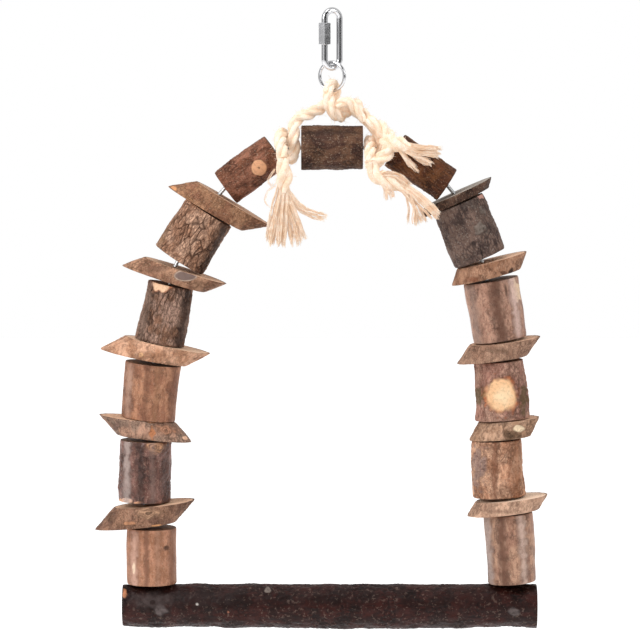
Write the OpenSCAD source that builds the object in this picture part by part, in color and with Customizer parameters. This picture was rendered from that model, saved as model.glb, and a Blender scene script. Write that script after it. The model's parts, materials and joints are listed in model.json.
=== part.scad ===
// A bird's swing: logs and oblique branch slices threaded on a wire arch over a wooden perch.
// A sisal rope is knotted round the wire on both sides of the top log and hitched to a ring,
// and a quick link with a screwed sleeve hangs the ring from the cage.
// Millimetres, +Z up, the front is -Y. The origin is the inside of the link's top bend, where it hangs.

/* [Quick link] */
// Thickness of the link's wire
link_wire_d = 3; // [2.8:0.1:3.2]
// Outside length of the link
link_len = 30.3; // [28:0.1:36]
// Distance between the middles of the link's two legs
link_legs = 8.2; // [8:0.1:9.5]
// Turn of the link about the vertical, in degrees
link_turn = 30; // [28:1:34]
// Length of the screwed sleeve
sleeve_len = 10.4; // [9:0.1:12]
// Width of the sleeve across its flats
sleeve_flats = 5.6; // [5:0.1:6.5]
// How far the sleeve screws down to open the link
sleeve_travel = 6.5; // [4:0.1:6.5]
// Length of the opening in the link's leg that the sleeve bridges
gate_gap = 3.6; // [3:0.1:4]

/* [Ring] */
// Thickness of the ring's wire
ring_wire_d = 1.6; // [1.2:0.1:1.7]
// Diameter of the ring at the middle of its wire
ring_d = 13.5; // [13:0.1:14.2]
// Turn of the ring about the vertical, in degrees
ring_turn = -30; // [-36:1:-28]

/* [Rope] */
// Diameter of the sisal rope
rope_d = 5.8; // [4.6:0.1:6]
// Drop from the ring's lowest wire to the middle of the top log
rope_drop = 27.3; // [27:0.1:34]

/* [Wire arch] */
// Diameter of the arch wire
wire_d = 1.8; // [1.2:0.1:2.2]
// Diameter of the hole drilled through each log and slice
bore_d = 3.2; // [2.8:0.1:4.5]
// Clearance between neighbouring wooden pieces where they nearly touch
bead_gap = 0.3; // [0.3:0.05:1]

/* [Logs] */
// Length of a plain log
log_len = 29.5; // [26:0.5:36]
// Width of a plain log over its bark
log_d = 26; // [22:0.5:29]
// Width of the log at the top of the arch
top_log_d = 21.4; // [18:0.2:22.4]
// How far a sawn branch stub stands out of the bark
stub_rise = 0.7; // [0.4:0.1:1.5]

/* [Slices] */
// Thickness of a plain slice
slice_t = 7.4; // [5:0.2:10]
// Diameter of the branch that the slices are sawn from
slice_d = 26; // [22:0.5:29]

/* [Perch] */
// Greatest thickness of the perch
perch_d = 22.2; // [18:0.2:26]
// How far the perch runs on past each wire hole
perch_end = 12; // [8:0.2:25]
// Depth of the wire holes in the perch
perch_hole_depth = 14; // [8:0.5:15]

/* [Hidden] */

// Smoothness of the exact round shapes, and how far a cut runs past what it cuts
$fn = 48;
over = 0.5;

// Logs down each side, as shares of log_len and log_d. Each row holds the lean of the bore from
// upright in degrees, the length, the widths at the top and the foot, the bow of the branch,
// how far its middle lies outward of the bore, and the turn of its grain in degrees.
LEAN = 0; LENGTH = 1; TOP_W = 2; FOOT_W = 3; BOW = 4; OFFSET = 5; GRAIN = 6;
left_log_shares = [
    [53.9, 1.000, 0.72, 0.72, 0.010, 0.000, 20],
    [32.5, 0.910, 1.01, 1.03, 0.010, -0.010, 75],
    [12.0, 0.960, 0.87, 0.97, -0.020, -0.030, 130],
    [6.0, 0.910, 1.05, 1.00, 0.015, 0.000, 10],
    [1.2, 0.995, 0.97, 1.02, 0.010, 0.000, 210],
    [-0.3, 0.915, 0.93, 0.93, 0.010, -0.090, 300]];
right_log_shares = [
    [56.5, 1.015, 0.71, 0.71, 0.010, 0.000, 160],
    [22.5, 0.960, 1.00, 1.01, 0.010, -0.020, 40],
    [9.0, 0.980, 1.03, 1.02, 0.000, 0.080, 255],
    [4.0, 0.950, 0.95, 1.03, 0.020, 0.010, 95],
    [2.5, 0.925, 0.93, 0.98, -0.010, -0.130, 330],
    [3.6, 0.980, 0.94, 0.94, 0.010, 0.000, 185]];

// Slices down each side, as shares of slice_t and slice_d. Each row holds the lean of the bore,
// the thickness, the branch width, the slant of the saw cut in degrees, how far its middle lies
// outward of the bore, and the turn of its grain in degrees.
THICK = 1; BRANCH_W = 2; SLANT = 3; SLICE_OFFSET = 4; SLICE_GRAIN = 5;
left_slice_shares = [
    [31.0, 1.25, 1.04, 49, -0.100, 15],
    [18.0, 0.98, 1.03, 51, -0.040, 110],
    [12.0, 1.15, 1.06, 51, 0.010, 200],
    [6.0, 1.18, 0.96, -47, 0.010, 290],
    [-5.8, 1.30, 1.04, 47, 0.010, 65]];
right_slice_shares = [
    [24.5, 0.55, 1.04, -43, 0.000, 140],
    [14.0, 1.00, 1.10, -33, 0.090, 35],
    [7.0, 1.12, 1.04, -41, 0.030, 240],
    [5.0, 1.16, 0.98, -32, 0.030, 80],
    [6.0, 0.88, 1.12, -37, 0.000, 175]];

// Sawn-off side branches at the front of a log, as shares of log_d. Each row holds the log, counted
// from the top, the stub's radius, its place right of and above the log's middle, and the distance
// from the bore to the bark there.
STUB_R = 1; STUB_RIGHT = 2; STUB_UP = 3; STUB_BARK = 4;
left_stub_shares = [[0, 0.150, 0.060, 0.168, 0.360]];
right_stub_shares = [[3, 0.265, 0.060, 0.030, 0.495]];

// Room for a knot between the top log and the first log of a side, as shares of rope_d, and the
// lean of the wire there.
left_knot_room_share = 2.16;
right_knot_room_share = 2.62;
left_knot_lean = 82.2;
right_knot_lean = 85.2;
// Extra gap between the first log and the first slice on the left, as a share of log_len
left_slack_share = 0.012;
// Unevenness of the bark and the branch outline, as shares of the radius
log_rough_share = 0.02;
slice_rough_share = 0.025;
// Sides and rings of a log, sides of a slice's branch, and sides of the perch
log_sides = 20;
log_rings = 7;
slice_sides = 26;
perch_sides = 20;
// Perch thickness from the left end to the right end, as shares of perch_d
perch_shares = [0.955, 0.955, 0.955, 0.965, 0.975, 0.98, 0.99, 1.0, 1.0, 0.99, 0.98, 0.97, 0.96,
    0.955];
// Running clearance of the sleeve on the link's leg, and of the wire's ends in the perch
sleeve_clear = 0.06;
hole_clear = 0.05;
// Gap between the link's bend and the ring that hangs in it, and the slit where the ring's wire meets
ring_rest_gap = 0.4;
ring_slit = 0.3;

bark_colors = [
    ["#6e4632", "#8c6e5a", "#64504a", "#a5765c", "#735c58", "#be8c70"],
    ["#503223", "#5c4c44", "#a07d6c", "#967864", "#a07860", "#a57d69"]];
slice_colors = [
    ["#966e55", "#7d5f50", "#b98c69", "#af8c6e", "#967860"],
    ["#503e34", "#a87358", "#967d6c", "#a5826e", "#a0826e"]];
metal_color = "#c8c8cc";
rope_color = "#fde2c8";

// Steps of a helper curve: a unit vector, and the direction down the arch at a lean
function unit(v) = v / norm(v);
function down(lean) = [sin(lean), -cos(lean)];
// Turns a place on a side, outward and up, into a point of the model; side is -1 on the left
function at(side, p) = [side*p[0], 0, p[1]];

// The hanging hardware, from the top down
link_r = link_legs/2;
link_foot_z = 1.5*link_wire_d - link_len;
ring_top_z = link_foot_z + link_wire_d/2 + ring_wire_d/2 + ring_rest_gap;
ring_foot_z = ring_top_z - ring_d;
top_z = ring_foot_z - rope_drop;

// Pieces of a side from the top down, each as lean, height along the bore, and rim radii
function rim(width) = width/2*(1 + 1.7*log_rough_share);
function log_piece(row) = [row[LEAN], row[LENGTH]*log_len,
    rim(row[TOP_W]*log_d) + abs(row[OFFSET])*log_d, rim(row[FOOT_W]*log_d) + abs(row[OFFSET])*log_d];
function slice_piece(row) = [row[LEAN], row[THICK]*slice_t, 0, 0];
function side_pieces(logs, slices) = [for (k = [0:10])
    k % 2 == 0 ? log_piece(logs[k/2]) : slice_piece(slices[(k - 1)/2])];
// Gap along the wire between two faces whose inner edges nearly touch
function face_gap(a, b) = (bead_gap + max(a[3], b[2])*abs(sin(a[0] - b[0])))/cos((a[0] - b[0])/2);
// Upper and lower end of each bore, outward and up, from the top down
function threaded(pieces, start, slack, k = 0) = k == len(pieces) ? [] :
    let (foot = start + pieces[k][1]*down(pieces[k][0]),
         more = k + 1 < len(pieces),
         gap = more ? face_gap(pieces[k], pieces[k + 1]) + (k == 0 ? slack : 0) : 0,
         lean = more ? (pieces[k][0] + pieces[k + 1][0])/2 : 0)
    concat([[start, foot]], threaded(pieces, foot + gap*down(lean), slack, k + 1));

top_half = log_len/2;
left_pieces = side_pieces(left_log_shares, left_slice_shares);
left_bores = threaded(left_pieces,
    [top_half, top_z] + left_knot_room_share*rope_d*down(left_knot_lean), left_slack_share*log_len);
// The left side stands on the perch, and the last log on the right is cut to reach it
function seat_gap(piece) = bead_gap + piece[3]*abs(sin(piece[0]));
perch_top = left_bores[10][1][1] - seat_gap(left_pieces[10]);
right_plain = side_pieces(right_log_shares, right_slice_shares);
right_start = [top_half, top_z] + right_knot_room_share*rope_d*down(right_knot_lean);
right_last_top = threaded(right_plain, right_start, 0)[10][0];
right_last_len = (right_last_top[1] - perch_top - seat_gap(right_plain[10]))/cos(right_plain[10][0]);
right_pieces = [for (k = [0:10]) k < 10 ? right_plain[k] :
    [right_plain[k][0], right_last_len, right_plain[k][2], right_plain[k][3]]];
right_bores = threaded(right_pieces, right_start, 0);
bores = [left_bores, right_bores];
pieces = [left_pieces, right_pieces];
logs = [left_log_shares, right_log_shares];
slices = [left_slice_shares, right_slice_shares];
left_hole = left_bores[10][1][0];
right_hole = right_bores[10][1][0];

// A tube along a route: frames are carried from ring to ring so that it doesn't twist
function directions(p) = [for (i = [0:len(p) - 1]) unit(p[min(i + 1, len(p) - 1)] - p[max(i - 1, 0)])];
function square_to(n, t) = unit(n - (n*t)*t);
function carried(t, n, i = 0) = i == len(t) ? [] :
    let (m = square_to(n, t[i])) concat([m], carried(t, m, i + 1));
// Points between hand-picked ones, on a smooth curve through them
function between(a, b, c, d, s) = 0.5*((2*b) + s*(c - a) + s*s*(2*a - 5*b + 4*c - d)
    + s*s*s*(3*b - 3*c + d - a));
function smooth(p, steps) = let (n = len(p) - 1) concat(
    [for (i = [0:n - 1], s = [0:steps - 1])
        between(p[max(i - 1, 0)], p[i], p[i + 1], p[min(i + 2, n)], s/steps)], [p[n]]);

module tube(p, r, sides = 8) {
    t = directions(p);
    n = carried(t, abs(t[0].z) > 0.9 ? [1, 0, 0] : [0, 0, 1]);
    last = len(p) - 1;
    points = [for (i = [0:last], k = [0:sides - 1]) let (a = 360*k/sides)
        p[i] + r[i]*(cos(a)*n[i] + sin(a)*cross(t[i], n[i]))];
    walls = [for (i = [0:last - 1], k = [0:sides - 1]) let (m = (k + 1) % sides)
        each [[i*sides + k, (i + 1)*sides + k, (i + 1)*sides + m],
              [i*sides + k, (i + 1)*sides + m, i*sides + m]]];
    near = [for (k = [1:sides - 2]) [0, k, k + 1]];
    far = [for (k = [1:sides - 2]) [last*sides, last*sides + k + 1, last*sides + k]];
    polyhedron(points, concat(walls, near, far));
}

// A branch outline that isn't quite round
function uneven(a, grain, share) = 1 + share*(cos(2*a + grain) + 0.6*cos(3*a - 2*grain));

// A length of branch along Z between level saw cuts, widths and bow in millimetres
module branch(len, top_w, foot_w, bow, offset, grain) {
    points = [for (i = [0:log_rings - 1], k = [0:log_sides - 1])
        let (s = i/(log_rings - 1), a = 360*k/log_sides,
             r = (foot_w + s*(top_w - foot_w))/2*uneven(a + 25*s, grain, log_rough_share))
        [offset + bow*sin(180*s) + r*cos(a), r*sin(a), len*(s - 0.5)]];
    n = log_sides;
    last = log_rings - 1;
    walls = [for (i = [0:last - 1], k = [0:n - 1]) let (m = (k + 1) % n)
        each [[i*n + k, (i + 1)*n + k, (i + 1)*n + m], [i*n + k, (i + 1)*n + m, i*n + m]]];
    foot = [[for (k = [0:n - 1]) k]];
    top = [[for (k = [n - 1:-1:0]) last*n + k]];
    polyhedron(points, concat(walls, foot, top));
}

module bore(len) {
    cylinder(h = len + 2*over, d = bore_d, center = true);
}

// The sawn-off side branches of a log; a stub that stands beside the middle starts lower
module stubs(rows, k) {
    for (row = rows)
        if (row[0] == k)
            translate([row[STUB_RIGHT]*log_d, 0, row[STUB_UP]*log_d]) rotate([90, 0, 0])
                cylinder(h = sqrt(pow(row[STUB_BARK], 2) - pow(row[STUB_RIGHT], 2))*log_d + stub_rise,
                         r = row[STUB_R]*log_d);
}

// Puts a piece on its bore
module on_bore(side, k) {
    ends = bores[side < 0 ? 0 : 1][k];
    translate(at(side, (ends[0] + ends[1])/2))
        rotate([0, -side*pieces[side < 0 ? 0 : 1][k][0], 0]) children();
}

module side_log(side, k) {
    row = logs[side < 0 ? 0 : 1][k];
    len = pieces[side < 0 ? 0 : 1][2*k][1];
    color(bark_colors[side < 0 ? 0 : 1][k])
    on_bore(side, 2*k) difference() {
        union() {
            branch(len, row[TOP_W]*log_d, row[FOOT_W]*log_d, side*row[BOW]*log_d,
                   side*row[OFFSET]*log_d, row[GRAIN]);
            stubs(side < 0 ? left_stub_shares : right_stub_shares, k);
        }
        bore(len);
    }
}

// A slice sawn aslant from a branch: both faces are level and the bark between them slopes
module side_slice(side, k) {
    row = slices[side < 0 ? 0 : 1][k];
    thick = row[THICK]*slice_t;
    branch_d = row[BRANCH_W]*slice_d;
    color(slice_colors[side < 0 ? 0 : 1][k])
    on_bore(side, 2*k + 1) difference() {
        intersection() {
            translate([side*row[SLICE_OFFSET]*slice_d, 0, 0]) rotate([0, -side*row[SLANT], 0])
                linear_extrude(height = 4*branch_d, center = true)
                polygon([for (n = [0:slice_sides - 1]) let (a = 360*n/slice_sides)
                    branch_d/2*uneven(a, row[SLICE_GRAIN], slice_rough_share)*[cos(a), sin(a)]]);
            cube([6*branch_d, 2*branch_d, thick], center = true);
        }
        bore(thick);
    }
}

// Quick link: a bent rod with an opening in its left leg
bend_mid_z = link_wire_d/2 - link_r;
sleeve_top = bend_mid_z - 0.43*link_r;
gate_top = sleeve_top - 0.21*sleeve_len;

module bend(up) {
    rotate([up > 0 ? 90 : -90, 0, 0]) rotate_extrude(angle = 180)
        translate([link_r, 0]) circle(d = link_wire_d);
}

module quick_link() {
    color(metal_color)
    rotate([0, 0, link_turn]) {
        foot_mid_z = link_foot_z + link_r;
        translate([0, 0, bend_mid_z]) bend(1);
        translate([0, 0, foot_mid_z]) bend(-1);
        translate([link_r, 0, foot_mid_z]) cylinder(h = bend_mid_z - foot_mid_z, d = link_wire_d);
        translate([-link_r, 0, foot_mid_z])
            cylinder(h = gate_top - gate_gap - foot_mid_z, d = link_wire_d);
        translate([-link_r, 0, gate_top]) cylinder(h = bend_mid_z - gate_top, d = link_wire_d);
    }
}

// Screwed sleeve: a hexagon with turned ends
module link_sleeve() {
    color(metal_color)
    rotate([0, 0, link_turn]) translate([-link_r, 0, sleeve_top - sleeve_len]) difference() {
        intersection() {
            cylinder(h = sleeve_len, d = sleeve_flats/cos(30), $fn = 6);
            rotate_extrude() polygon([[0, 0], [0.46*sleeve_flats, 0],
                [0.6*sleeve_flats, 0.1*sleeve_flats], [0.6*sleeve_flats, sleeve_len - 0.1*sleeve_flats],
                [0.46*sleeve_flats, sleeve_len], [0, sleeve_len]]);
        }
        translate([0, 0, -over])
            cylinder(h = sleeve_len + 2*over, d = link_wire_d + 2*sleeve_clear);
    }
}

// Ring of round wire with a slit where its ends meet
module hanging_ring() {
    slit_angle = 360*ring_slit/(PI*ring_d);
    color(metal_color)
    translate([0, 0, ring_top_z - ring_d/2]) rotate([90, 0, ring_turn]) rotate([0, 0, 150])
        rotate_extrude(angle = 360 - slit_angle)
        translate([ring_d/2, 0]) circle(d = ring_wire_d);
}

// Wire arch: up from the left hole, through every bore, and down into the right hole
function rising(side) = [for (k = [10:-1:0]) each [at(side, bores[side < 0 ? 0 : 1][k][1]),
    at(side, bores[side < 0 ? 0 : 1][k][0])]];
function reversed(p) = [for (k = [len(p) - 1:-1:0]) p[k]];
hole_foot_z = perch_top - perch_hole_depth + hole_clear;
wire_route = concat(
    [[-left_hole, 0, hole_foot_z], [-left_hole, 0, perch_top]], rising(-1),
    [[-top_half, 0, top_z], [top_half, 0, top_z]], reversed(rising(1)),
    [[right_hole, 0, perch_top], [right_hole, 0, hole_foot_z]]);

module arch_wire() {
    color(metal_color) tube(wire_route, [for (p = wire_route) wire_d/2]);
}

// Perch: a rod of branch with a level top, drilled for the wire's two ends
perch_left = -left_hole - perch_end;
perch_right = right_hole + perch_end;

module perch() {
    last = len(perch_shares) - 1;
    n = perch_sides;
    points = [for (i = [0:last], k = [0:n - 1])
        let (r = perch_shares[i]*perch_d/2, a = 90 + 360*k/n)
        [perch_left + (perch_right - perch_left)*i/last, r*cos(a), perch_top - r + r*sin(a)]];
    walls = [for (i = [0:last - 1], k = [0:n - 1]) let (m = (k + 1) % n)
        each [[i*n + k, (i + 1)*n + k, (i + 1)*n + m], [i*n + k, (i + 1)*n + m, i*n + m]]];
    color("#3a2624")
    difference() {
        polyhedron(points, concat(walls, [[for (k = [0:n - 1]) k]],
            [[for (k = [n - 1:-1:0]) last*n + k]]));
        for (x = [-left_hole, right_hole])
            translate([x, 0, perch_top - perch_hole_depth])
                cylinder(h = perch_hole_depth + over, d = wire_d + 2*hole_clear);
    }
}

module top_log() {
    color("#58443a")
    translate([0, 0, top_z]) rotate([0, 90, 0]) difference() {
        branch(log_len, top_log_d, top_log_d, 0, 0, 50);
        bore(log_len);
    }
}

// Rope. Each knot is one turn round the wire beside the top log, and the hitch one turn over the
// ring. The points between are chosen by hand, as shares of rope_d from the ring's foot or a knot.
rope_r = rope_d/2;
hitch_squeeze = 0.85;
knot_clear = 0.5;
hitch_clear = 0.25;
knot_r = rope_r + wire_d/2 + knot_clear;
knot_in = top_half + rope_r + bead_gap;
left_knot_pitch = 1.35*rope_d;
right_knot_pitch = 1.16*rope_d;
knot_z = top_z - 0.14*rope_d;
hitch_r = hitch_squeeze*rope_r + ring_wire_d/2 + hitch_clear;
ring_foot = [0, 0, ring_foot_z];
ring_back = [-sin(ring_turn), cos(ring_turn), 0];
left_knot_at = [-knot_in, 0, knot_z];
right_knot_at = [knot_in, 0, knot_z];

left_start_shares = [[-0.93, -2.45, -0.59], [-1.07, -2.21, 0.17], [-1.17, -1.52, 0.83]];
left_rise_shares = [[-0.05, -0.71, 1.03], [-0.03, -0.59, 1.95], [0.20, -0.48, 2.47],
    [0.69, -0.38, 2.76]];
hitch_in_shares = [[-1.53, -0.10, -1.76], [-0.76, 0.41, -1.36], [-0.07, 0.72, -0.84]];
hitch_out_shares = [[-0.29, -0.67, -0.67], [-0.17, -0.79, -1.24], [0.17, -0.62, -1.83],
    [0.59, -0.10, -2.14], [0.98, 0.48, -1.90], [1.21, 0.76, -1.38], [1.69, 0.62, -1.19]];
right_fall_shares = [[-0.67, 0.10, 2.97], [0.17, -0.38, 2.14], [0.91, -0.69, 1.22]];
right_end_shares = [[0.02, -1.28, 0.22], [0.03, -2.12, -0.26], [0.05, -2.62, -0.95]];
// The rope has come loose and thicker below the ring on the right: how much, where and how far
swell_share = 0.36;
swell_place_shares = [1.79, 0.52, -1.29];
swell_reach_share = 1.29;

function from(place, shares) = [for (s = shares) place + s*rope_d];
// The left knot's turn opens out over the top, where the tail comes forward
function left_turn(a) = let (r = knot_r + 0.55*rope_d*min(1, max(0, a/90 - 2)))
    left_knot_at + [-left_knot_pitch*a/360, -r*cos(a), -r*sin(a)];
function right_turn(a) = right_knot_at
    + [right_knot_pitch*pow(1 - a/360, 2), -knot_r*cos(a), -knot_r*sin(a)];
function hitch_turn(a) = ring_foot + hitch_r*(sin(a)*ring_back + [0, 0, cos(a)]);

rope_points = concat(
    from(left_knot_at, left_start_shares),
    [for (a = [300:-30:0]) left_turn(a)],
    from(left_knot_at, left_rise_shares),
    from(ring_foot, hitch_in_shares),
    [for (a = [110:-27.5:-110]) hitch_turn(a)],
    from(ring_foot, hitch_out_shares),
    from(right_knot_at, right_fall_shares),
    [for (a = [0:30:330]) right_turn(a)],
    from(right_knot_at, right_end_shares));
rope_route = smooth(rope_points, 2);
// The rope is squeezed thinner where it bends sharply over the ring
function squeeze(p) = min(1, hitch_squeeze + max(0, norm(p - ring_foot) - hitch_r)/rope_d);
function swell(p) = 1 + swell_share*max(0, 1
    - pow(norm(p - ring_foot - swell_place_shares*rope_d)/(swell_reach_share*rope_d), 2));
rope_radii = [for (p = rope_route) rope_r*squeeze(p)*swell(p)];

// Least gap between parts of the rope that aren't neighbours along it
function apart(p, r, skip) = min([for (i = [0:len(p) - 1], j = [i + skip:1:len(p) - 1])
    norm(p[i] - p[j]) - r[i] - r[j]]);
echo(least_rope_gap = apart(rope_route, rope_radii, 12));

module rope() {
    color(rope_color) tube(rope_route, rope_radii);
}

// The tails go on straight from the rope's two ends, a hair's breadth away
rope_joint = 0.05;
function carry_on(end, before, points) = let (t = unit(end - before))
    concat([end + rope_joint*t, end + rope_r*t], points);

// A rope's end: the laid rope loosens and runs out into its middle strand, and other strands
// spread from it. Each row of strands holds a width and the points, both as shares of rope_d.
module tail(place, route, widths, strands) {
    color(rope_color) {
        tube(route, [for (s = widths) s*rope_r]);
        for (strand = strands)
            tube(from(place, strand[1]), [for (p = strand[1]) strand[0]*rope_r], 6);
    }
}

left_tail_shares = [[-0.86, -2.52, -1.72], [-0.84, -2.48, -2.59], [-0.84, -2.45, -3.62],
    [-0.90, -2.41, -4.83], [-1.00, -2.38, -6.21], [-1.10, -2.34, -7.59]];
left_width_shares = [1, 1, 1.15, 1.3, 1.4, 1.35, 1.2, 0.8];
left_strand_shares = [
    [0.7, [[-1.03, -2.48, -2.24], [-1.41, -2.41, -3.79], [-1.83, -2.38, -5.52],
        [-2.21, -2.38, -7.41]]],
    [0.6, [[-0.90, -2.41, -3.45], [-1.31, -2.34, -5.52], [-1.62, -2.31, -7.67]]],
    [0.7, [[-0.72, -2.45, -2.59], [-0.34, -2.34, -4.31], [0.28, -2.28, -6.03],
        [0.76, -2.24, -7.41]]],
    [0.6, [[-0.79, -2.41, -3.45], [-0.41, -2.31, -5.52], [-0.21, -2.31, -7.76]]],
    [0.4, [[-0.62, -2.41, -3.28], [0.43, -2.31, -4.57], [1.47, -2.24, -5.17],
        [2.59, -2.21, -5.52]]]];
module rope_tail_left() {
    tail(left_knot_at, carry_on(rope_route[0], rope_route[1], from(left_knot_at, left_tail_shares)),
         left_width_shares, left_strand_shares);
}

upper_tail_shares = [[1.05, -1.78, 0.79], [1.62, -2.17, 0.76], [2.22, -2.52, 0.59],
    [2.93, -2.62, 0.34], [3.69, -2.66, 0.17], [4.41, -2.66, 0.03], [5.45, -2.59, -0.10]];
upper_width_shares = [1, 1.2, 1.4, 1.45, 1.4, 1.3, 0.9];
upper_strand_shares = [
    [0.6, [[3.45, -2.72, 0.38], [4.48, -2.76, 0.41], [5.52, -2.76, 0.34]]],
    [0.65, [[2.93, -2.76, 0.10], [3.72, -2.83, -0.59], [4.72, -2.83, -1.14]]],
    [0.5, [[2.41, -2.72, 0.17], [3.03, -2.79, -0.69], [3.62, -2.79, -1.38]]]];
module rope_tail_upper() {
    tail(right_knot_at, from(right_knot_at, upper_tail_shares), upper_width_shares,
         upper_strand_shares);
}

lower_end = len(rope_route) - 1;
lower_tail_shares = [[0.45, -2.76, -1.93], [1.10, -2.72, -2.31], [1.97, -2.69, -2.66],
    [3.09, -2.79, -3.17], [4.17, -3.17, -4.02], [4.93, -3.59, -4.66], [5.38, -3.72, -5.17]];
lower_width_shares = [1, 1, 1.2, 1.35, 1.4, 1.35, 1.25, 1.05, 0.7];
lower_strand_shares = [
    [0.6, [[1.03, -2.79, -2.33], [1.45, -2.97, -2.93], [1.59, -3.03, -3.62]]],
    [0.55, [[0.79, -2.90, -2.14], [1.55, -3.10, -1.90], [2.50, -3.03, -2.17],
        [3.21, -2.93, -2.93]]],
    [0.55, [[2.93, -2.86, -3.21], [3.34, -3.14, -4.48], [3.45, -3.24, -6.12]]],
    [0.5, [[2.76, -2.83, -3.10], [3.90, -3.07, -4.48], [4.48, -3.28, -5.69]]]];
module rope_tail_lower() {
    tail(right_knot_at, carry_on(rope_route[lower_end], rope_route[lower_end - 1],
         from(right_knot_at, lower_tail_shares)), lower_width_shares, lower_strand_shares);
}

// Places of the joints, for whoever assembles the model
for (side = [-1, 1], k = [0:10]) {
    ends = bores[side < 0 ? 0 : 1][k];
    echo(bore_of = k, side = side, middle = at(side, (ends[0] + ends[1])/2),
        lean = pieces[side < 0 ? 0 : 1][k][0], foot = ends[1], top = ends[0]);
}
echo(link_foot = link_foot_z, ring_foot = ring_foot_z, top = top_z, perch_top = perch_top,
    left_hole = left_hole, right_hole = right_hole, last_len = right_last_len);

quick_link();
link_sleeve();
hanging_ring();
rope();
rope_tail_left();
rope_tail_upper();
rope_tail_lower();
arch_wire();
perch();
top_log();
for (k = [0:5]) {
    side_log(-1, k);
    side_log(1, k);
}
for (k = [0:4]) {
    side_slice(-1, k);
    side_slice(1, k);
}
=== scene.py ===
# %% [markdown]
# # A bird's swing
#
# Logs and slanted slices of branch hang on a wire arch above a perch. A sisal rope, a ring and a
# quick link carry them. The packed CAD model is the frame: it says where each piece is and how it
# moves. This script makes the looks: first the camera and the light, then the rope, then the wood.
# Lengths are in mm in the script: the picture's middle is at `MIDDLE_X` and `MIDDLE_Z`, and one of its
# `PICTURE` pixels is `PIXEL` wide.

# %% Load the frame
import json
import math

import bmesh
import bpy
import numpy as np
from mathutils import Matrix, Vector
from mathutils.bvhtree import BVHTree

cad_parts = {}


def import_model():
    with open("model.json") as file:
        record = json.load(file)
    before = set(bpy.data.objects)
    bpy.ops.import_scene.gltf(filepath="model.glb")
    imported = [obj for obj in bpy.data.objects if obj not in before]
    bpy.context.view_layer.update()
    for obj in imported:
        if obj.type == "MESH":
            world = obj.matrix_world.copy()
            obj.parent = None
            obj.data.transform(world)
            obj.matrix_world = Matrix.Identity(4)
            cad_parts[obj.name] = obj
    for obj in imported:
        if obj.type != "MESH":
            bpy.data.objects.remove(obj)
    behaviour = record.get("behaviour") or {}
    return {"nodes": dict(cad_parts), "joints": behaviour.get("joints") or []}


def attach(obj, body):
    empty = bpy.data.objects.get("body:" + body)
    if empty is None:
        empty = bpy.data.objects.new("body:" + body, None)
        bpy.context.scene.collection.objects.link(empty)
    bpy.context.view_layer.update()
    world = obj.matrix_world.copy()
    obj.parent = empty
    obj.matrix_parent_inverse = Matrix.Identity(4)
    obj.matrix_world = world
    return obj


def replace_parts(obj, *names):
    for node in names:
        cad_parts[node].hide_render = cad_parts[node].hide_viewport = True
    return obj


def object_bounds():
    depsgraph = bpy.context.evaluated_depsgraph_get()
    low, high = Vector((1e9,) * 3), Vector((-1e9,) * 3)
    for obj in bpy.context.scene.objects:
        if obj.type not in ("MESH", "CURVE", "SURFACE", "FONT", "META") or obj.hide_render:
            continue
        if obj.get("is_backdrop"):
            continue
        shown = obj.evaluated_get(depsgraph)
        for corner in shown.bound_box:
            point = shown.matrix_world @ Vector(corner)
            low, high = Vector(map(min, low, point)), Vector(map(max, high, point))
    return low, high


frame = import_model()
first_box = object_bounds()
nodes = frame["nodes"]
joints = {j["child"]: j for j in frame["joints"]}
scene = bpy.context.scene
MM = 0.001
PICTURE, PIXEL = 640, 0.48
MIDDLE_X, MIDDLE_Z = -5.76, -146.6

# %% [markdown]
# ## Node trees as formulas
#
# Materials, the sky and the geometry trees are all node trees. They could be wired up node by node,
# but a formula is easier to read. So `Net` writes any of them: a number in a tree is a `Value`, and
# arithmetic on it adds the Math nodes.

# %% Values and nets
class Value:
    """A number or a vector in a node tree."""

    def __init__(self, net, socket):
        self.net, self.socket = net, socket

    def __add__(self, other):
        return self.net.math("ADD", self, other)

    def __sub__(self, other):
        return self.net.math("SUBTRACT", self, other)

    def __rsub__(self, other):
        return self.net.math("SUBTRACT", other, self)

    def __mul__(self, other):
        return self.net.math("MULTIPLY", self, other)

    def __truediv__(self, other):
        return self.net.math("DIVIDE", self, other)

    __radd__ = __add__
    __rmul__ = __mul__


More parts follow.
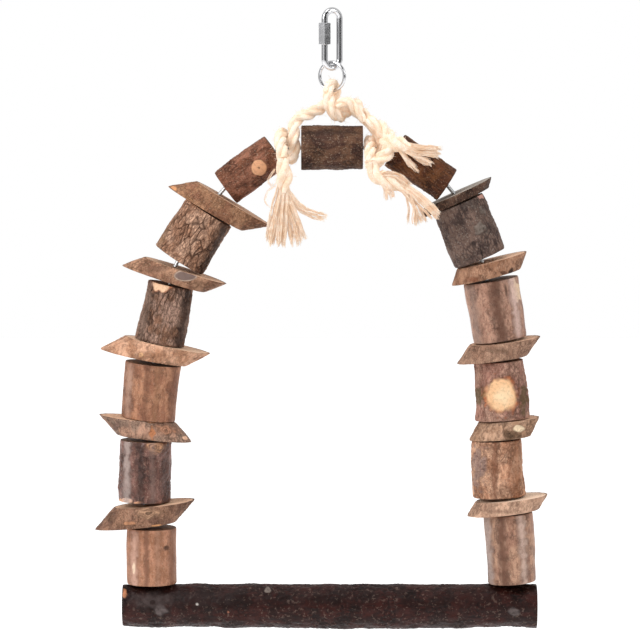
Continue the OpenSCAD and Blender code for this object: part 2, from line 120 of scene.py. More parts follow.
class Net:
    """A node tree. One method makes any node in it."""

    def __init__(self, tree):
        self.tree = tree
        self.family = tree.bl_idname.removesuffix("Tree")
        tree.nodes.clear()

    def node(self, kind, out=0, *values, at=None, **named):
        """kind is a node's type, without the family's name if it is of this tree's family. values
        feed the first sockets, `at` feeds sockets by number, a capital name feeds a socket by
        name, and a small name sets one of the node's own options."""
        made = self.tree.nodes.new(kind if "Node" in kind else self.family + kind)
        for key, value in named.items():
            if not key[0].isupper():
                setattr(made, key, value)
        feeds = list(enumerate(values)) + list((at or {}).items())
        feeds += [(k.replace("_", " "), v) for k, v in named.items() if k[0].isupper()]
        for key, value in feeds:
            if isinstance(value, Value):
                self.tree.links.new(value.socket, made.inputs[key])
            elif value is not None:
                made.inputs[key].default_value = value
        return Value(self, made.outputs[out]) if made.outputs else made

    def math(self, operation, *values):
        return self.node("ShaderNodeMath", 0, *values, operation=operation)

    def vector(self, operation, *values, at=None):
        return self.node("ShaderNodeVectorMath", 0, *values, at=at, operation=operation)

    def scaled(self, vector, size):
        return self.vector("SCALE", vector, at={3: size})

    def drift(self, place, scale, detail):
        """Smooth noise with a direction, each part from -0.5 to 0.5."""
        return self.vector("SUBTRACT", self.node("ShaderNodeTexNoise", 1, place, Scale=scale,
                                                 Detail=detail), (0.5, 0.5, 0.5))

    def named_value(self, name):
        """A number stored at each point, read inside a geometry tree."""
        return self.node("GeometryNodeInputNamedAttribute", 0, name)

    def join(self, *parts):
        made = self.tree.nodes.new("GeometryNodeJoinGeometry")
        for part in parts:
            self.tree.links.new(part.socket, made.inputs[0])
        return Value(self, made.outputs[0])

    def named(self, name, kind="VECTOR"):
        """A value that the mesh carries at each of its points."""
        out = {"VECTOR": 1, "COLOR": 0, "FLOAT": 2, "ALPHA": 3}[kind]
        return self.node("ShaderNodeAttribute", out, attribute_name=name)

    def noise(self, vector, size, detail=3.0, rough=0.55):
        return self.node("ShaderNodeTexNoise", 0, vector, Scale=1 / size, Detail=detail,
                         Roughness=rough)

    def step(self, value, low, high):
        return self.node("ShaderNodeMapRange", 0, value, low, high,
                         interpolation_type="SMOOTHSTEP")

    def mix(self, share, a, b):
        return self.node("ShaderNodeMix", 2, share, at={6: a, 7: b}, data_type="RGBA")


print("a net's own words:", [name for name in vars(Net) if name[0] != "_"])

# %% [markdown]
# ## Colours and materials
#
# A colour is written here as a picture program shows it. Blender works with linear values, in which
# twice the number is twice the light, so `rgb` turns one into the other. Every material is one
# Principled shader, and a function of its own says what goes into the shader's sockets.

# %% Colours and materials
def rgb(text, share=1.0):
    """A colour such as 6e4632, as Blender's own linear values."""
    parts = [int(text[i:i + 2], 16) / 255 for i in (0, 2, 4)]
    return (*[share * (c / 12.92 if c <= 0.04045 else ((c + 0.055) / 1.055) ** 2.4)
              for c in parts], 1.0)


def material(name, build):
    """build(net) gives the Principled shader's inputs by name."""
    made = bpy.data.materials.new(name)
    made.use_nodes = True
    net = Net(made.node_tree)
    shader = net.node("BsdfPrincipled", 0, **build(net))
    net.node("OutputMaterial", 0, Surface=shader)
    return made


print("the brown 9d6b52 is", [round(v, 3) for v in rgb("9d6b52")], "in Blender")

# %% [markdown]
# ## Camera and light
#
# The camera looks at the front from 1.8 m away and a little above: the upper faces of the slices
# show as narrow ellipses, wider towards the perch. The lens makes one pixel of the 640-pixel
# picture 0.48 mm wide at the arch. A tall lamp on each side leaves a bright band down each side of
# the smooth logs and a darker one between. The lamps stand high enough for the flats of the link's
# sleeve not to mirror them.

# %% Camera and lamps
def placed(name, data, place, target=None):
    made = bpy.data.objects.new(name, data)
    scene.collection.objects.link(made)
    made.location = place
    if target is not None:
        made.rotation_euler = (Vector(target) - Vector(place)).to_track_quat("-Z", "Y").to_euler()
    return made


FAR, ABOVE = 1.8, math.radians(5.3)
aim = Vector((MIDDLE_X, 0, MIDDLE_Z)) * MM
camera = placed("camera", bpy.data.cameras.new("camera"),
                aim + FAR * Vector((0, -math.cos(ABOVE), math.sin(ABOVE))), aim)
camera.data.lens = camera.data.sensor_width * FAR / (PICTURE * PIXEL * MM)
scene.camera = camera
scene.view_settings.view_transform = "Standard"


def lamp(name, place, wide, high, watts):
    data = bpy.data.lights.new(name, "AREA")
    data.shape, data.size, data.size_y, data.energy = "RECTANGLE", wide, high, watts
    return placed(name, data, place, (0, 0, -0.15))


lamp("left_lamp", (-0.85, -0.62, 0.4), 0.28, 0.6, 7.2)
lamp("right_lamp", (0.85, -0.55, 0.38), 0.22, 0.6, 4.0)
lamp("top_lamp", (-0.1, -0.25, 0.75), 0.5, 0.4, 1.9)
print("camera", FAR, "m away, lens", round(camera.data.lens), "mm")

# %% [markdown]
# The picture's background is white: the sky and the floor glow for the camera and for mirrors alone,
# and the light of the sky on the pieces is dimmer. The metal mirrors the white studio with a black
# flag in front, so that it shows dark and bright streaks.

# %% Sky and floor
world = bpy.data.worlds.new("studio")
scene.world = world
world.use_nodes = True
sky = Net(world.node_tree)
way = sky.node("TexCoord", "Generated")
x, y, height = (sky.node("SeparateXYZ", k, way) for k in range(3))
side = sky.math("ABSOLUTE", x)
panels = sky.step(side, 0.62, 0.7) * 0.35 + (1 - sky.step(side, 0.2, 0.3)) * 0.55
glow = panels * 0.56 + sky.step(height, -0.6, 0.8) * 0.32 + 0.17
flag = sky.step(y * -1.0, 0.1, 0.4) * sky.step(x, -0.3, -0.1)
mirrored = (0.8 - flag * 0.76 - sky.step(y, 0.8, 0.95) * 0.45
            - sky.step(x * -1.0, 0.75, 0.85) * 0.35)


def rays(net):
    """1 for the camera's rays, and 1 for those that a shiny surface mirrors."""
    return [net.node("LightPath", "Is " + ray + " Ray") for ray in ("Camera", "Glossy")]


seen, shiny = rays(sky)
sky.node("OutputWorld", 0, Surface=sky.node(
    "Background", 0, Color=(1, 1, 1, 1),
    Strength=seen + (1 - seen) * (glow + shiny * (mirrored - glow))))


def floor_look(net):
    shown = net.math("MAXIMUM", *rays(net))
    return dict(Base_Color=(0.9, 0.9, 0.9, 1), Roughness=0.9, Emission_Strength=0.62,
                Emission_Color=net.mix(shown, (0, 0, 0, 1), (1, 1, 1, 1)))


floor_mesh = bpy.data.meshes.new("floor")
floor_mesh.from_pydata([(-3, -3, -0.45), (3, -3, -0.45), (3, 3, -0.45), (-3, 3, -0.45)], [],
                       [(0, 1, 2, 3)])
floor_mesh.materials.append(material("floor_paper", floor_look))
placed("floor", floor_mesh, (0, 0, 0))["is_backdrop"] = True
print("sky:", len(sky.tree.nodes), "nodes, floor", round(floor_mesh.vertices[0].co.z, 3), "m high")

# %% [markdown]
# ## The rope's route
#
# The route is the CAD rope's own, point by point: a turn round the wire on each side of the top
# log, and one turn over the ring's foot. The tables are shares of the rope's thickness, counted
# from the ring's foot or from a knot, as in the part's source. A curve through them could be drawn
# by hand, but this way the rope that is seen lies where the solid one is. The turns come first.

# %% Turns of the rope
ROPE_D, WIRE_R, RING_WIRE_R = 5.8, 0.9, 0.8
TOP_LOG_HALF, LOG_ROOM, KNOT_ROOM, HITCH_ROOM = 14.75, 0.3, 0.5, 0.25
SQUEEZED = 0.85
RING_TO_WIRE = 27.3
RING_TURN = math.radians(30)
ring_foot = np.array([0, 0, -36.6])
knot_z = ring_foot[2] - RING_TO_WIRE - 0.14 * ROPE_D
knot_x = TOP_LOG_HALF + ROPE_D / 2 + LOG_ROOM
left_knot, right_knot = np.array([-knot_x, 0, knot_z]), np.array([knot_x, 0, knot_z])
knot_r = ROPE_D / 2 + WIRE_R + KNOT_ROOM
hitch_r = SQUEEZED * ROPE_D / 2 + RING_WIRE_R + HITCH_ROOM
ring_back = np.array([math.sin(RING_TURN), math.cos(RING_TURN), 0])


def turn(knot, along, radius, degrees):
    a = math.radians(degrees)
    return knot + [along, -radius * math.cos(a), -radius * math.sin(a)]


def left_turn(a):
    return turn(left_knot, -1.35 * ROPE_D * a / 360,
                knot_r + 0.55 * ROPE_D * min(1, max(0, a / 90 - 2)), a)


def right_turn(a):
    return turn(right_knot, 1.16 * ROPE_D * (1 - a / 360) ** 2, knot_r, a)


def hitch_turn(a):
    a = math.radians(a)
    return ring_foot + hitch_r * (math.sin(a) * ring_back + [0, 0, math.cos(a)])


print("the knots are", 2 * knot_x, "mm apart and", round(ring_foot[2] - knot_z, 1),
      "mm below the ring's foot")

# %% [markdown]
# Between the turns the route is a smooth curve through listed points. The rope is squeezed where it
# turns on the ring, and it swells where its strands open beside the right knot.

# %% Route of the rope
def spline(points, steps):
    """A smooth curve through given points."""
    p = np.asarray(points, float)
    n = len(p) - 1
    out = []
    for i in range(n):
        a, b, c, d = p[max(i - 1, 0)], p[i], p[i + 1], p[min(i + 2, n)]
        for s in np.arange(steps) / steps:
            out.append(0.5 * (2 * b + s * (c - a) + s * s * (2 * a - 5 * b + 4 * c - d)
                              + s ** 3 * (3 * b - 3 * c + d - a)))
    return np.array(out + [p[n]])


def away(place, shares):
    return place + np.array(shares) * ROPE_D


def run_length(points):
    return np.linalg.norm(np.diff(points, axis=0), axis=1).sum()


rope_points = np.array([
    *away(left_knot, [[-0.93, -2.45, -0.59], [-1.07, -2.21, 0.17], [-1.17, -1.52, 0.83]]),
    *[left_turn(a) for a in range(300, -1, -30)],
    *away(left_knot, [[-0.05, -0.71, 1.03], [-0.03, -0.59, 1.95], [0.20, -0.48, 2.47],
                      [0.69, -0.38, 2.76]]),
    *away(ring_foot, [[-1.53, -0.10, -1.76], [-0.76, 0.41, -1.36], [-0.07, 0.72, -0.84]]),
    *[hitch_turn(a) for a in np.arange(110, -111, -27.5)],
    *away(ring_foot, [[-0.29, -0.67, -0.67], [-0.17, -0.79, -1.24], [0.17, -0.62, -1.83],
                      [0.59, -0.10, -2.14], [0.98, 0.48, -1.90], [1.21, 0.76, -1.38],
                      [1.69, 0.62, -1.19]]),
    *away(right_knot, [[-0.67, 0.10, 2.97], [0.17, -0.38, 2.14], [0.91, -0.69, 1.22]]),
    *[right_turn(a) for a in range(0, 331, 30)],
    *away(right_knot, [[0.02, -1.28, 0.22], [0.03, -2.12, -0.26], [0.05, -2.62, -0.95]])])
STEPS = 8
rope_route = spline(rope_points, STEPS)
squeeze = np.minimum(1, SQUEEZED + np.maximum(
    0, np.linalg.norm(rope_route - ring_foot, axis=1) - hitch_r) / ROPE_D)
loose_at = away(ring_foot, [1.79, 0.52, -1.29])
swell = 1 + 0.42 * np.maximum(0, 1 - (np.linalg.norm(
    rope_route - loose_at, axis=1) / (1.29 * ROPE_D)) ** 2)
print("the rope runs", round(run_length(rope_route)), "mm between its ends")

# %% [markdown]
# Three frayed ends go on from there: the rope's own two ends, which hang down, and one that sticks
# out of the right knot.

# %% Routes of the ends
left_tail = np.array([rope_route[0], *away(left_knot, [
    [-0.86, -2.52, -1.72], [-0.84, -2.48, -2.59], [-0.84, -2.45, -3.62], [-0.90, -2.41, -4.83],
    [-1.00, -2.38, -6.21], [-1.10, -2.34, -7.59]])])
lower_tail = np.array([rope_route[-1], *away(right_knot, [
    [0.45, -2.76, -1.93], [1.10, -2.72, -2.31], [1.97, -2.69, -2.66], [3.09, -2.79, -3.17],
    [4.17, -3.17, -4.02], [4.93, -3.59, -4.66], [5.38, -3.72, -5.17]])])
upper_tail = away(right_knot, [[1.05, -1.78, 0.79], [1.62, -2.17, 0.76], [2.22, -2.52, 0.59],
                               [2.93, -2.62, 0.34], [3.69, -2.66, 0.17], [4.41, -2.66, 0.03],
                               [5.45, -2.59, -0.10]])
print("from point to point the ends run",
      [round(run_length(points)) for points in (left_tail, lower_tail, upper_tail)], "mm")

# %% [markdown]
# ## Three geometry trees
#
# Everything of sisal repeats one small thing thousands of times along a line, which is what Geometry
# Nodes are for. `tree` starts a tree with named inputs, `grown` runs it on an object and keeps the
# mesh, and `guides` makes the lines that it runs on.

# %% Helpers for trees
def tree(name, **inputs):
    """A new geometry tree: its net, and its inputs as values with the geometry first."""
    made = bpy.data.node_groups.new(name, "GeometryNodeTree")
    face = made.interface
    face.new_socket("Geometry", in_out="OUTPUT", socket_type="NodeSocketGeometry")
    face.new_socket("Geometry", in_out="INPUT", socket_type="NodeSocketGeometry")
    for key, value in inputs.items():
        kind = {int: "Int", float: "Float", type(None): "Material"}[type(value)]
        socket = face.new_socket(key, in_out="INPUT", socket_type="NodeSocket" + kind)
        if value is not None:
            socket.default_value = value
    net = Net(made)
    entry = made.nodes.new("NodeGroupInput")
    return net, [Value(net, entry.outputs[key]) for key in ("Geometry", *inputs)]


def grown(name, obj, net, **inputs):
    """Runs a geometry tree on an object and gives the result as a mesh of its own."""
    change = obj.modifiers.new(name, "NODES")
    change.node_group = net.tree
    ids = {s.name: s.identifier for s in net.tree.interface.items_tree if s.in_out == "INPUT"}
    for key, value in inputs.items():
        change[ids[key]] = value
    obj.update_tag()
    graph = bpy.context.evaluated_depsgraph_get()
    mesh = bpy.data.meshes.new_from_object(obj.evaluated_get(graph), depsgraph=graph)
    obj.modifiers.remove(change)
    mesh.name = name
    return placed(name, mesh, (0, 0, 0))


def guides(name, lines, shares=None):
    """A curve object with one line of points for each guide, in metres."""
    data = bpy.data.curves.new(name, "CURVE")
    data.dimensions = "3D"
    for line in lines:
        made = data.splines.new("POLY")
        made.points.add(len(line) - 1)
        made.points.foreach_set("co", np.c_[line * MM, np.ones(len(line))].ravel())
        if shares is not None:
            made.points.foreach_set("radius", shares)
    return placed(name, data, (0, 0, 0))


print("the rope's guide has", len(rope_route), "points")

# %% [markdown]
# Some steps come back in these trees: points that are pushed aside, lines that get a thickness, and
# random numbers with a fixed seed, which give the same rope each time.

# %% Steps that the trees share
def moved(net, shape, offset):
    return net.node("SetPosition", 0, shape, Offset=offset)


def thread(net, lines, thickness, scale=None):
    """Lines as thin threads with three sides."""
    side = net.node("CurvePrimitiveCircle", 0, 3, Radius=thickness)
    return net.node("CurveToMesh", 0, lines, side, scale)


def random_way(net, seed):
    return net.node("FunctionNodeRandomValue", 0, (-1, -1, -1), (1, 1, 1), Seed=seed,
                    data_type="FLOAT_VECTOR")


def random_share(net, least, seed):
    """A number of its own for each element, up to 1."""
    return net.node("FunctionNodeRandomValue", 1, at={2: least, 3: 1.0, 8: seed})


print("shared:", [step.__name__ for step in (moved, thread, random_way, random_share)])

# %% [markdown]
# ## Laid rope
#
# A sisal rope is three strands wound round each other, and each strand is wound from yarns. A noise
# bump on a tube would look flat at its edges. So `laid` sweeps the outline of three circles along a
# curve that tilts steadily, and raises the yarns on each strand in the mesh itself.

# %% The laid tree
laid, (curve, radius, pitch, strands, yarns, paint) = tree(
    "laid", Radius=0.0029, Pitch=0.02, Strands=3, Yarns=6, Paint=None)
along = laid.node("SplineParameter", 1)
wound = laid.node("SetCurveTilt", 0, curve, Tilt=along / pitch * math.tau)
wound = laid.node("StoreNamedAttribute", 0, wound, None, "along", along)
ring_of = laid.node("CurvePrimitiveCircle", 0, 24, Radius=radius * 0.5)
ring_of = laid.node("StoreNamedAttribute", 0, ring_of, None, "around",
                    laid.node("SplineParameter", 0))
hub = laid.node("CurvePrimitiveCircle", 0, strands, Radius=radius * 0.52)
profile = laid.node("RealizeInstances", 0, laid.node(
    "InstanceOnPoints", 0, hub, Instance=ring_of))
skin = laid.node("CurveToMesh", 0, wound, profile,
                 Scale=laid.node("InputRadius"), Fill_Caps=True)
phase = (laid.named_value("around") + laid.named_value("along") / pitch * 1.7) * yarns * math.pi
lobe = laid.math("ABSOLUTE", laid.math("SINE", phase)) - 0.6
skin = moved(laid, skin, laid.scaled(laid.node("InputNormal"), lobe * radius * 0.1))
skin = laid.node("SetShadeSmooth", 0, skin)
laid.node("NodeGroupOutput", 0, laid.node("SetMaterial", 0, skin, Material=paint))
print("laid:", len(laid.tree.nodes), "nodes")

# %% [markdown]
# ## Fuzz
#
# Fibres stand off a sisal rope all over, and they soften its outline. `fuzz` scatters short bent
# fibres over a mesh: real geometry, which the exported model keeps, where a hair system would not be.

# %% The fuzz tree
fuzz, (mesh, density, length, thickness, seed, paint) = tree(
    "fuzz", Density=400000.0, Length=0.003, Thickness=0.00005, Seed=1, Paint=None)
scattered = fuzz.tree.nodes.new("GeometryNodeDistributePointsOnFaces")
fuzz.tree.links.new(mesh.socket, scattered.inputs["Mesh"])
fuzz.tree.links.new(density.socket, scattered.inputs["Density"])
fuzz.tree.links.new(seed.socket, scattered.inputs["Seed"])
spot, out_of = Value(fuzz, scattered.outputs["Points"]), Value(fuzz, scattered.outputs["Normal"])
hair = fuzz.node("ResampleCurve", 0, fuzz.node(
    "CurvePrimitiveLine", 0, (0, 0, 0), (0, 0, 1)), None, 6)
lean = fuzz.vector("ADD", fuzz.scaled(out_of, 0.42), random_way(fuzz, seed))
hairs = fuzz.node("InstanceOnPoints", 0, spot, None, hair, None, None,
                  fuzz.node("FunctionNodeAlignRotationToVector", 0, Vector=lean, axis="Z"),
                  fuzz.scaled((1, 1, 1), length * random_share(fuzz, 0.3, seed)))
hairs = fuzz.node("RealizeInstances", 0, hairs)
hairs = moved(fuzz, hairs, fuzz.scaled(
    fuzz.drift(None, 260, 0), length * fuzz.node("SplineParameter", 0)))
hairs = thread(fuzz, hairs, thickness)
hairs = fuzz.node("SetMaterial", 0, hairs, Material=paint)
fuzz.node("NodeGroupOutput", 0, fuzz.join(mesh, hairs))
print("fuzz:", len(fuzz.tree.nodes), "nodes")

# %% [markdown]
# ## Frayed ends
#
# A cut end of sisal falls apart into clumps of fibres. `fray` copies a few guide curves into clumps
# and each clump into hairs, and lets the copies spread, wander and end at their own lengths.

# %% The fray tree
fray, (curve, clumps, hairs, narrow, wide, wander, ragged, thickness, seed, paint) = tree(
    "fray", Clumps=9, Hairs=16, Narrow=0.001, Wide=0.003, Wander=0.004, Ragged=0.2,
    Thickness=0.00012, Seed=1, Paint=None)


def spread(net, lines, name, amount, seed, size):
    """Copies lines and pushes each copy its own way. Gives the copies and their own ways."""
    lines = net.node("DuplicateElements", 0, lines, None, amount, domain="SPLINE")
    lines = net.node("StoreNamedAttribute", 0, lines, None, name,
                     random_way(net, seed), data_type="FLOAT_VECTOR", domain="CURVE")
    own = net.node("InputNamedAttribute", 0, name, data_type="FLOAT_VECTOR")
    return moved(net, lines, net.scaled(own, size)), own


def stirred(net, lines, own, size, strength):
    """Lets each line wander as it goes on."""
    place = net.vector("ADD", net.scaled(net.node("InputPosition"), 1 / size),
                       net.scaled(own, 3.0))
    return moved(net, lines, net.scaled(net.drift(place, 1, 1), strength))


far = fray.node("SplineParameter", 0)
lines = fray.node("ResampleCurve", 0, curve, None, 30)
lines, own = spread(fray, lines, "way", clumps, seed,
                    narrow + (wide - narrow) * fray.math("POWER", far, 1.3))
lines = stirred(fray, lines, own, 0.008, wander * far)
lines, own = spread(fray, lines, "own_way", hairs, seed + 7, 0.00032 + 0.0003 * far)
lines = stirred(fray, lines, own, 0.003, 0.0011 * far)
lines = fray.node("StoreNamedAttribute", 0, lines, None, "tone",
                  random_share(fray, 0.0, seed + 3), domain="CURVE")
lines = fray.node("TrimCurve", 0, lines, None, 0.0,
                  1 - ragged * fray.named_value("tone"))
lines = thread(fray, lines, thickness, 1 - 0.3 * far)
fray.node("NodeGroupOutput", 0, fray.node("SetMaterial", 0, lines, Material=paint))
print("fray:", len(fray.tree.nodes), "nodes")

# %% [markdown]
# ## The finish of sisal
#
# Sisal is a pale straw colour with darker yarns between the pale ones. Light goes through its thin
# fibres, and a faint glow of the same colour stands in for that.

# %% Sisal
def sisal_look(net):
    spot = net.node("TexCoord", 3)
    patch = net.noise(spot, 4 * MM, 2)
    fine = net.noise(spot, 0.5 * MM, 3)
    tone = net.named("tone", "FLOAT")
    color = net.mix(net.step(patch, 0.35, 0.65), rgb("eed6bc"), rgb("f9e9d8"))
    color = net.mix(net.step(fine, 0.42, 0.7) * 0.45, color, rgb("e0b690"))
    color = net.mix(net.step(tone, 0.72, 1.0) * 0.7, color, rgb("deae80"))
    bump = net.node("Bump", 0, Strength=0.6, Distance=0.00012, Height=fine)
    return dict(Base_Color=color, Roughness=0.9, Normal=bump, Emission_Color=color,
                Emission_Strength=0.16)


sisal = material("sisal", sisal_look)
print("sisal:", len(sisal.node_tree.nodes), "nodes")

# %% [markdown]
# ## The rope
#
# The rope is laid along the CAD route. The tangle at its right knot has more turns than one rope's
# route gives, so a loose turn, a loose strand, some opened yarn and two curls are added to it.

# %% Rope
def joined(name, *parts):
    """Several meshes as one object."""
    with bpy.context.temp_override(active_object=parts[0], selected_editable_objects=parts):
        bpy.ops.object.join()
    parts[0].name = parts[0].data.name = name
    return parts[0]


def drop(obj):
    bpy.data.objects.remove(obj)


def fuzzy(name, obj, seed, density=260000.0, length=0.0024):
    made = grown(name, obj, fuzz, Density=density, Length=length, Seed=seed, Paint=sisal)
    drop(obj)
    return made


def laid_rope(name, route, shares, seed, pitch=0.019, **more):
    line = guides(name + "_line", [route], shares)
    made = grown(name + "_bare", line, laid, Pitch=pitch, Paint=sisal)
    drop(line)
    return fuzzy(name, made, seed, **more)


def frayed(name, lines, clumps, narrow, wide, seed, **more):
    line = guides(name + "_line", [spline(p, 6) for p in lines])
    made = grown(name, line, fray, Clumps=clumps, Narrow=narrow * MM, Wide=wide * MM, Seed=seed,
                 Paint=sisal, **more)
    drop(line)
    return made


curls = frayed("loose_yarn", [
    [(-27.2, -13.4, -73.4), (-28.9, -13.6, -76.0), (-30.4, -13.4, -79.4), (-28.0, -13.2, -81.6),
     (-26.6, -13.4, -78.6)],
    [(-27.0, -13.4, -81.4), (-30.2, -13.4, -83.4), (-32.0, -13.2, -87.6), (-30.6, -13.0, -90.6),
     (-28.0, -13.2, -91.4)]], 1, 0.1, 0.2, 5, Wander=0.0006, Hairs=5)
BRANCH_FROM, BRANCH_TO = 31, 42
right_branch = rope_route[STEPS * BRANCH_FROM:STEPS * BRANCH_TO:6]
loose = frayed("loose_branch", [right_branch], 16, 2.3, 3.0, 8, Wander=0.0016, Ragged=0.0)
extra = spline([(17.2, -3.0, -50.6), (23.6, -6.0, -54.2), (27.4, -9.0, -59.8),
                (26.4, -13.4, -65.4), (21.0, -13.6, -70.0), (16.5, -12, -72.5)], 8)
extra = laid_rope("extra_turn", extra, 1.22 * np.sin(np.linspace(0.6, 2.7, len(extra))) ** 0.5, 9)
strand = spline([(2.2, -4.0, -44.2), (5.0, -4.4, -42.0), (8.6, -4.2, -42.4), (12.0, -3.8, -46.6),
                 (15.5, -3.2, -51.0)], 8)
strand = laid_rope("loose_strand", strand, 0.85 * np.sin(np.linspace(0.7, 2.6, len(strand))) ** 0.5,
                   10)
rope = joined("sisal_rope", laid_rope("rope_skin", rope_route, squeeze * swell, 3), curls, loose,
              extra, strand)
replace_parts(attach(rope, "arch"), "rope")
print("rope:", len(rope.data.polygons), "faces")

# %% [markdown]
# ## The three frayed ends
#
# Each end is laid rope that runs out into a bundle along the tail's route, and strands that spread to
# the sides of it. Two of the ends hang free, and the third only sticks out of the knot.

# %% Frayed ends
def smoothstep(x, low, high):
    t = np.clip((x - low) / (high - low), 0, 1)
    return t * t * (3 - 2 * t)


def tail(name, route, laid_share, side_lines, node, seed, widest):
    """One frayed end. Gives the piece along the route and the piece that spreads from it."""
    smooth = spline(route, 6)
    laid_points = smooth[:max(4, int(len(smooth) * laid_share))]
    share = np.linspace(0, 1, len(laid_points))
    shares = (1 + (widest - 1) * smoothstep(share, 0, 0.5)) * (
        1 - 0.5 * smoothstep(share, 0.6, 1))
    core = joined(name, laid_rope(name + "_laid", laid_points, shares, seed, pitch=0.03),
                  frayed(name + "_core", [route], 15, 1.7, 2.1, seed + 1, Wander=0.0019,
                         Ragged=0.05, Hairs=24))
    fan = frayed(name + "_spread", side_lines, 5, 1.1, 2.0, seed + 2, Ragged=0.1)
    for obj in (core, fan):
        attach(obj, "arch")
    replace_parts(core, node)
    return core, fan, smooth


def strands(knot, start, rows):
    """Guides that leave a tail at the point `start` and spread."""
    return [np.vstack([start + (away(knot, row[0]) - start) * 0.5, away(knot, row)])
            for row in rows]


left_core, left_fan, left_path = tail("left_end", left_tail, 0.5, strands(
    left_knot, left_tail[2], [
        [[-1.03, -2.48, -2.24], [-1.41, -2.41, -3.79], [-1.83, -2.38, -5.52],
         [-2.21, -2.38, -7.41]],
        [[-0.95, -2.46, -2.6], [-1.2, -2.5, -4.0], [-1.6, -2.45, -5.6], [-1.95, -2.4, -7.75]],
        [[-0.90, -2.41, -3.45], [-1.31, -2.34, -5.52], [-1.62, -2.31, -7.67]],
        [[-0.72, -2.45, -2.59], [-0.34, -2.34, -4.31], [0.28, -2.28, -6.03],
         [0.76, -2.24, -7.41]],
        [[-0.7, -2.5, -3.0], [-0.2, -2.5, -4.6], [0.2, -2.45, -6.2], [0.35, -2.4, -7.7]],
        [[-0.79, -2.41, -3.45], [-0.41, -2.31, -5.52], [-0.21, -2.31, -7.76]],
        [[-0.62, -2.41, -3.28], [0.43, -2.31, -4.57], [1.47, -2.24, -5.17],
         [2.59, -2.21, -5.52]]]), "rope_tail_left", 11, 1.42)
left_path[0] * MM
left_path * MM

lower_core, lower_fan, lower_path = tail("lower_end", lower_tail, 0.62, strands(
    right_knot, lower_tail[1], [
        [[1.03, -2.79, -2.33], [1.45, -2.97, -2.93], [1.59, -3.03, -3.62]],
        [[0.79, -2.90, -2.14], [1.55, -3.10, -1.90], [2.50, -3.03, -2.17], [3.21, -2.93, -2.93]],
        [[2.0, -2.75, -2.75], [2.93, -2.86, -3.21], [3.34, -3.14, -4.48], [3.45, -3.24, -6.12]],
        [[2.0, -2.75, -2.7], [2.76, -2.83, -3.10], [3.90, -3.07, -4.48], [4.48, -3.28, -5.69]]]),
    "rope_tail_lower", 21, 1.4)
lower_path[0] * MM
lower_path * MM

*_, upper_path = tail("upper_end", upper_tail, 0.62, strands(
    right_knot, upper_tail[1], [
        [[2.4, -2.6, 0.5], [3.45, -2.72, 0.38], [4.48, -2.76, 0.41], [5.52, -2.76, 0.34]],
        [[2.2, -2.6, 0.5], [2.93, -2.76, 0.10], [3.72, -2.83, -0.59], [4.72, -2.83, -1.14]],
        [[2.0, -2.5, 0.5], [2.41, -2.72, 0.17], [3.03, -2.79, -0.69], [3.62, -2.79, -1.38]],
        [[2.4, -2.6, 0.4], [3.3, -2.8, 0.0], [4.2, -2.85, -0.3], [5.3, -2.8, -0.7]]]),
    "rope_tail_upper", 31, 1.42)
for path in (left_path, lower_path, upper_path):
    print("frayed end of", round(run_length(path), 1), "mm")

# %% [markdown]
# ## The relief of bark
#
# Old bark splits into plates with deep cracks between them, and young bark is nearly smooth. A bump
# map would leave the outline of a log straight, so the relief is worked out as heights in mm, with
# smooth noise for the swellings and the distance to the edges of cells for the cracks.

# %% Noise, cracks and relief
def sampled(p, cell, seed):
    """Smooth noise from -1 to 1 at points in mm."""
    table = np.random.default_rng(seed).uniform(-1, 1, (16, 16, 16))
    low = np.floor(p / cell).astype(int)
    f = p / cell - low
    f = f * f * (3 - 2 * f)
    total = np.zeros(p.shape[:-1])
    for corner in np.ndindex(2, 2, 2):
        share = np.where(corner, f, 1 - f).prod(axis=-1)
        total += share * table[tuple(np.moveaxis((low + corner) % 16, -1, 0))]
    return total


def to_crack(p, cell, seed):
    """Distance in mm to the nearest crack of a network of cells."""
    table = np.random.default_rng(seed).uniform(0, 1, (12, 12, 12, 3))
    low = np.floor(p / cell).astype(int)
    near = np.full((2, *p.shape[:-1]), 1e9)
    for step in np.ndindex(3, 3, 3):
        box = low + step - np.ones(3, int)
        centre = (box + table[tuple(np.moveaxis(box % 12, -1, 0))]) * cell
        gap = np.linalg.norm(p - centre, axis=-1)
        near = np.sort(np.concatenate([near, gap[None]]), axis=0)[:2]
    return (near[1] - near[0]) / 2


RELIEF = {
    "plated": dict(swell=0.45, rough=0.35, depth=0.6, width=0.24, cover=-0.35),
    "rough": dict(swell=0.4, rough=0.3, depth=0.3, width=0.27, cover=-0.05),
    "smooth": dict(swell=0.35, rough=0.08, depth=0.12, width=0.22, cover=0.4)}


def relief(p, kind, cell, long, seed):
    """Height of the bark in mm, and how deep in a crack each point is, from 0 to 1."""
    r = RELIEF[kind]
    bent = p + 0.35 * cell * np.stack([sampled(p, 1.3 * cell, seed + k) for k in range(3)], axis=-1)
    dip = 1 - smoothstep(to_crack(bent * [1, 1, long], cell, seed), 0.04, r["width"])
    dip = dip * smoothstep(sampled(p, 7, seed + 5), r["cover"], r["cover"] + 0.35)
    height = r["swell"] * sampled(p, 9, seed + 6) + r["rough"] * sampled(
        p * [1, 1, 0.5], 2.2, seed + 7) + 0.5 * r["rough"] * sampled(p, 0.9, seed + 8)
    return height - 0.15 - r["depth"] * dip, dip


for kind in RELIEF:
    heights, dips = relief(np.random.default_rng(1).uniform(0, 50, (500, 3)), kind, 1.7, 0.6, 1)
    print(kind, "bark:", heights.min().round(2), "to", heights.max().round(2), "mm,",
          (dips > 0.5).mean().round(2), "of it cracks")

# %% [markdown]
# ## The outline of a log
#
# No branch is round, and the CAD solids carry each one's own outline. Rays run in to the bore's line
# from all round at many heights, and the facets are smoothed out of what they find.

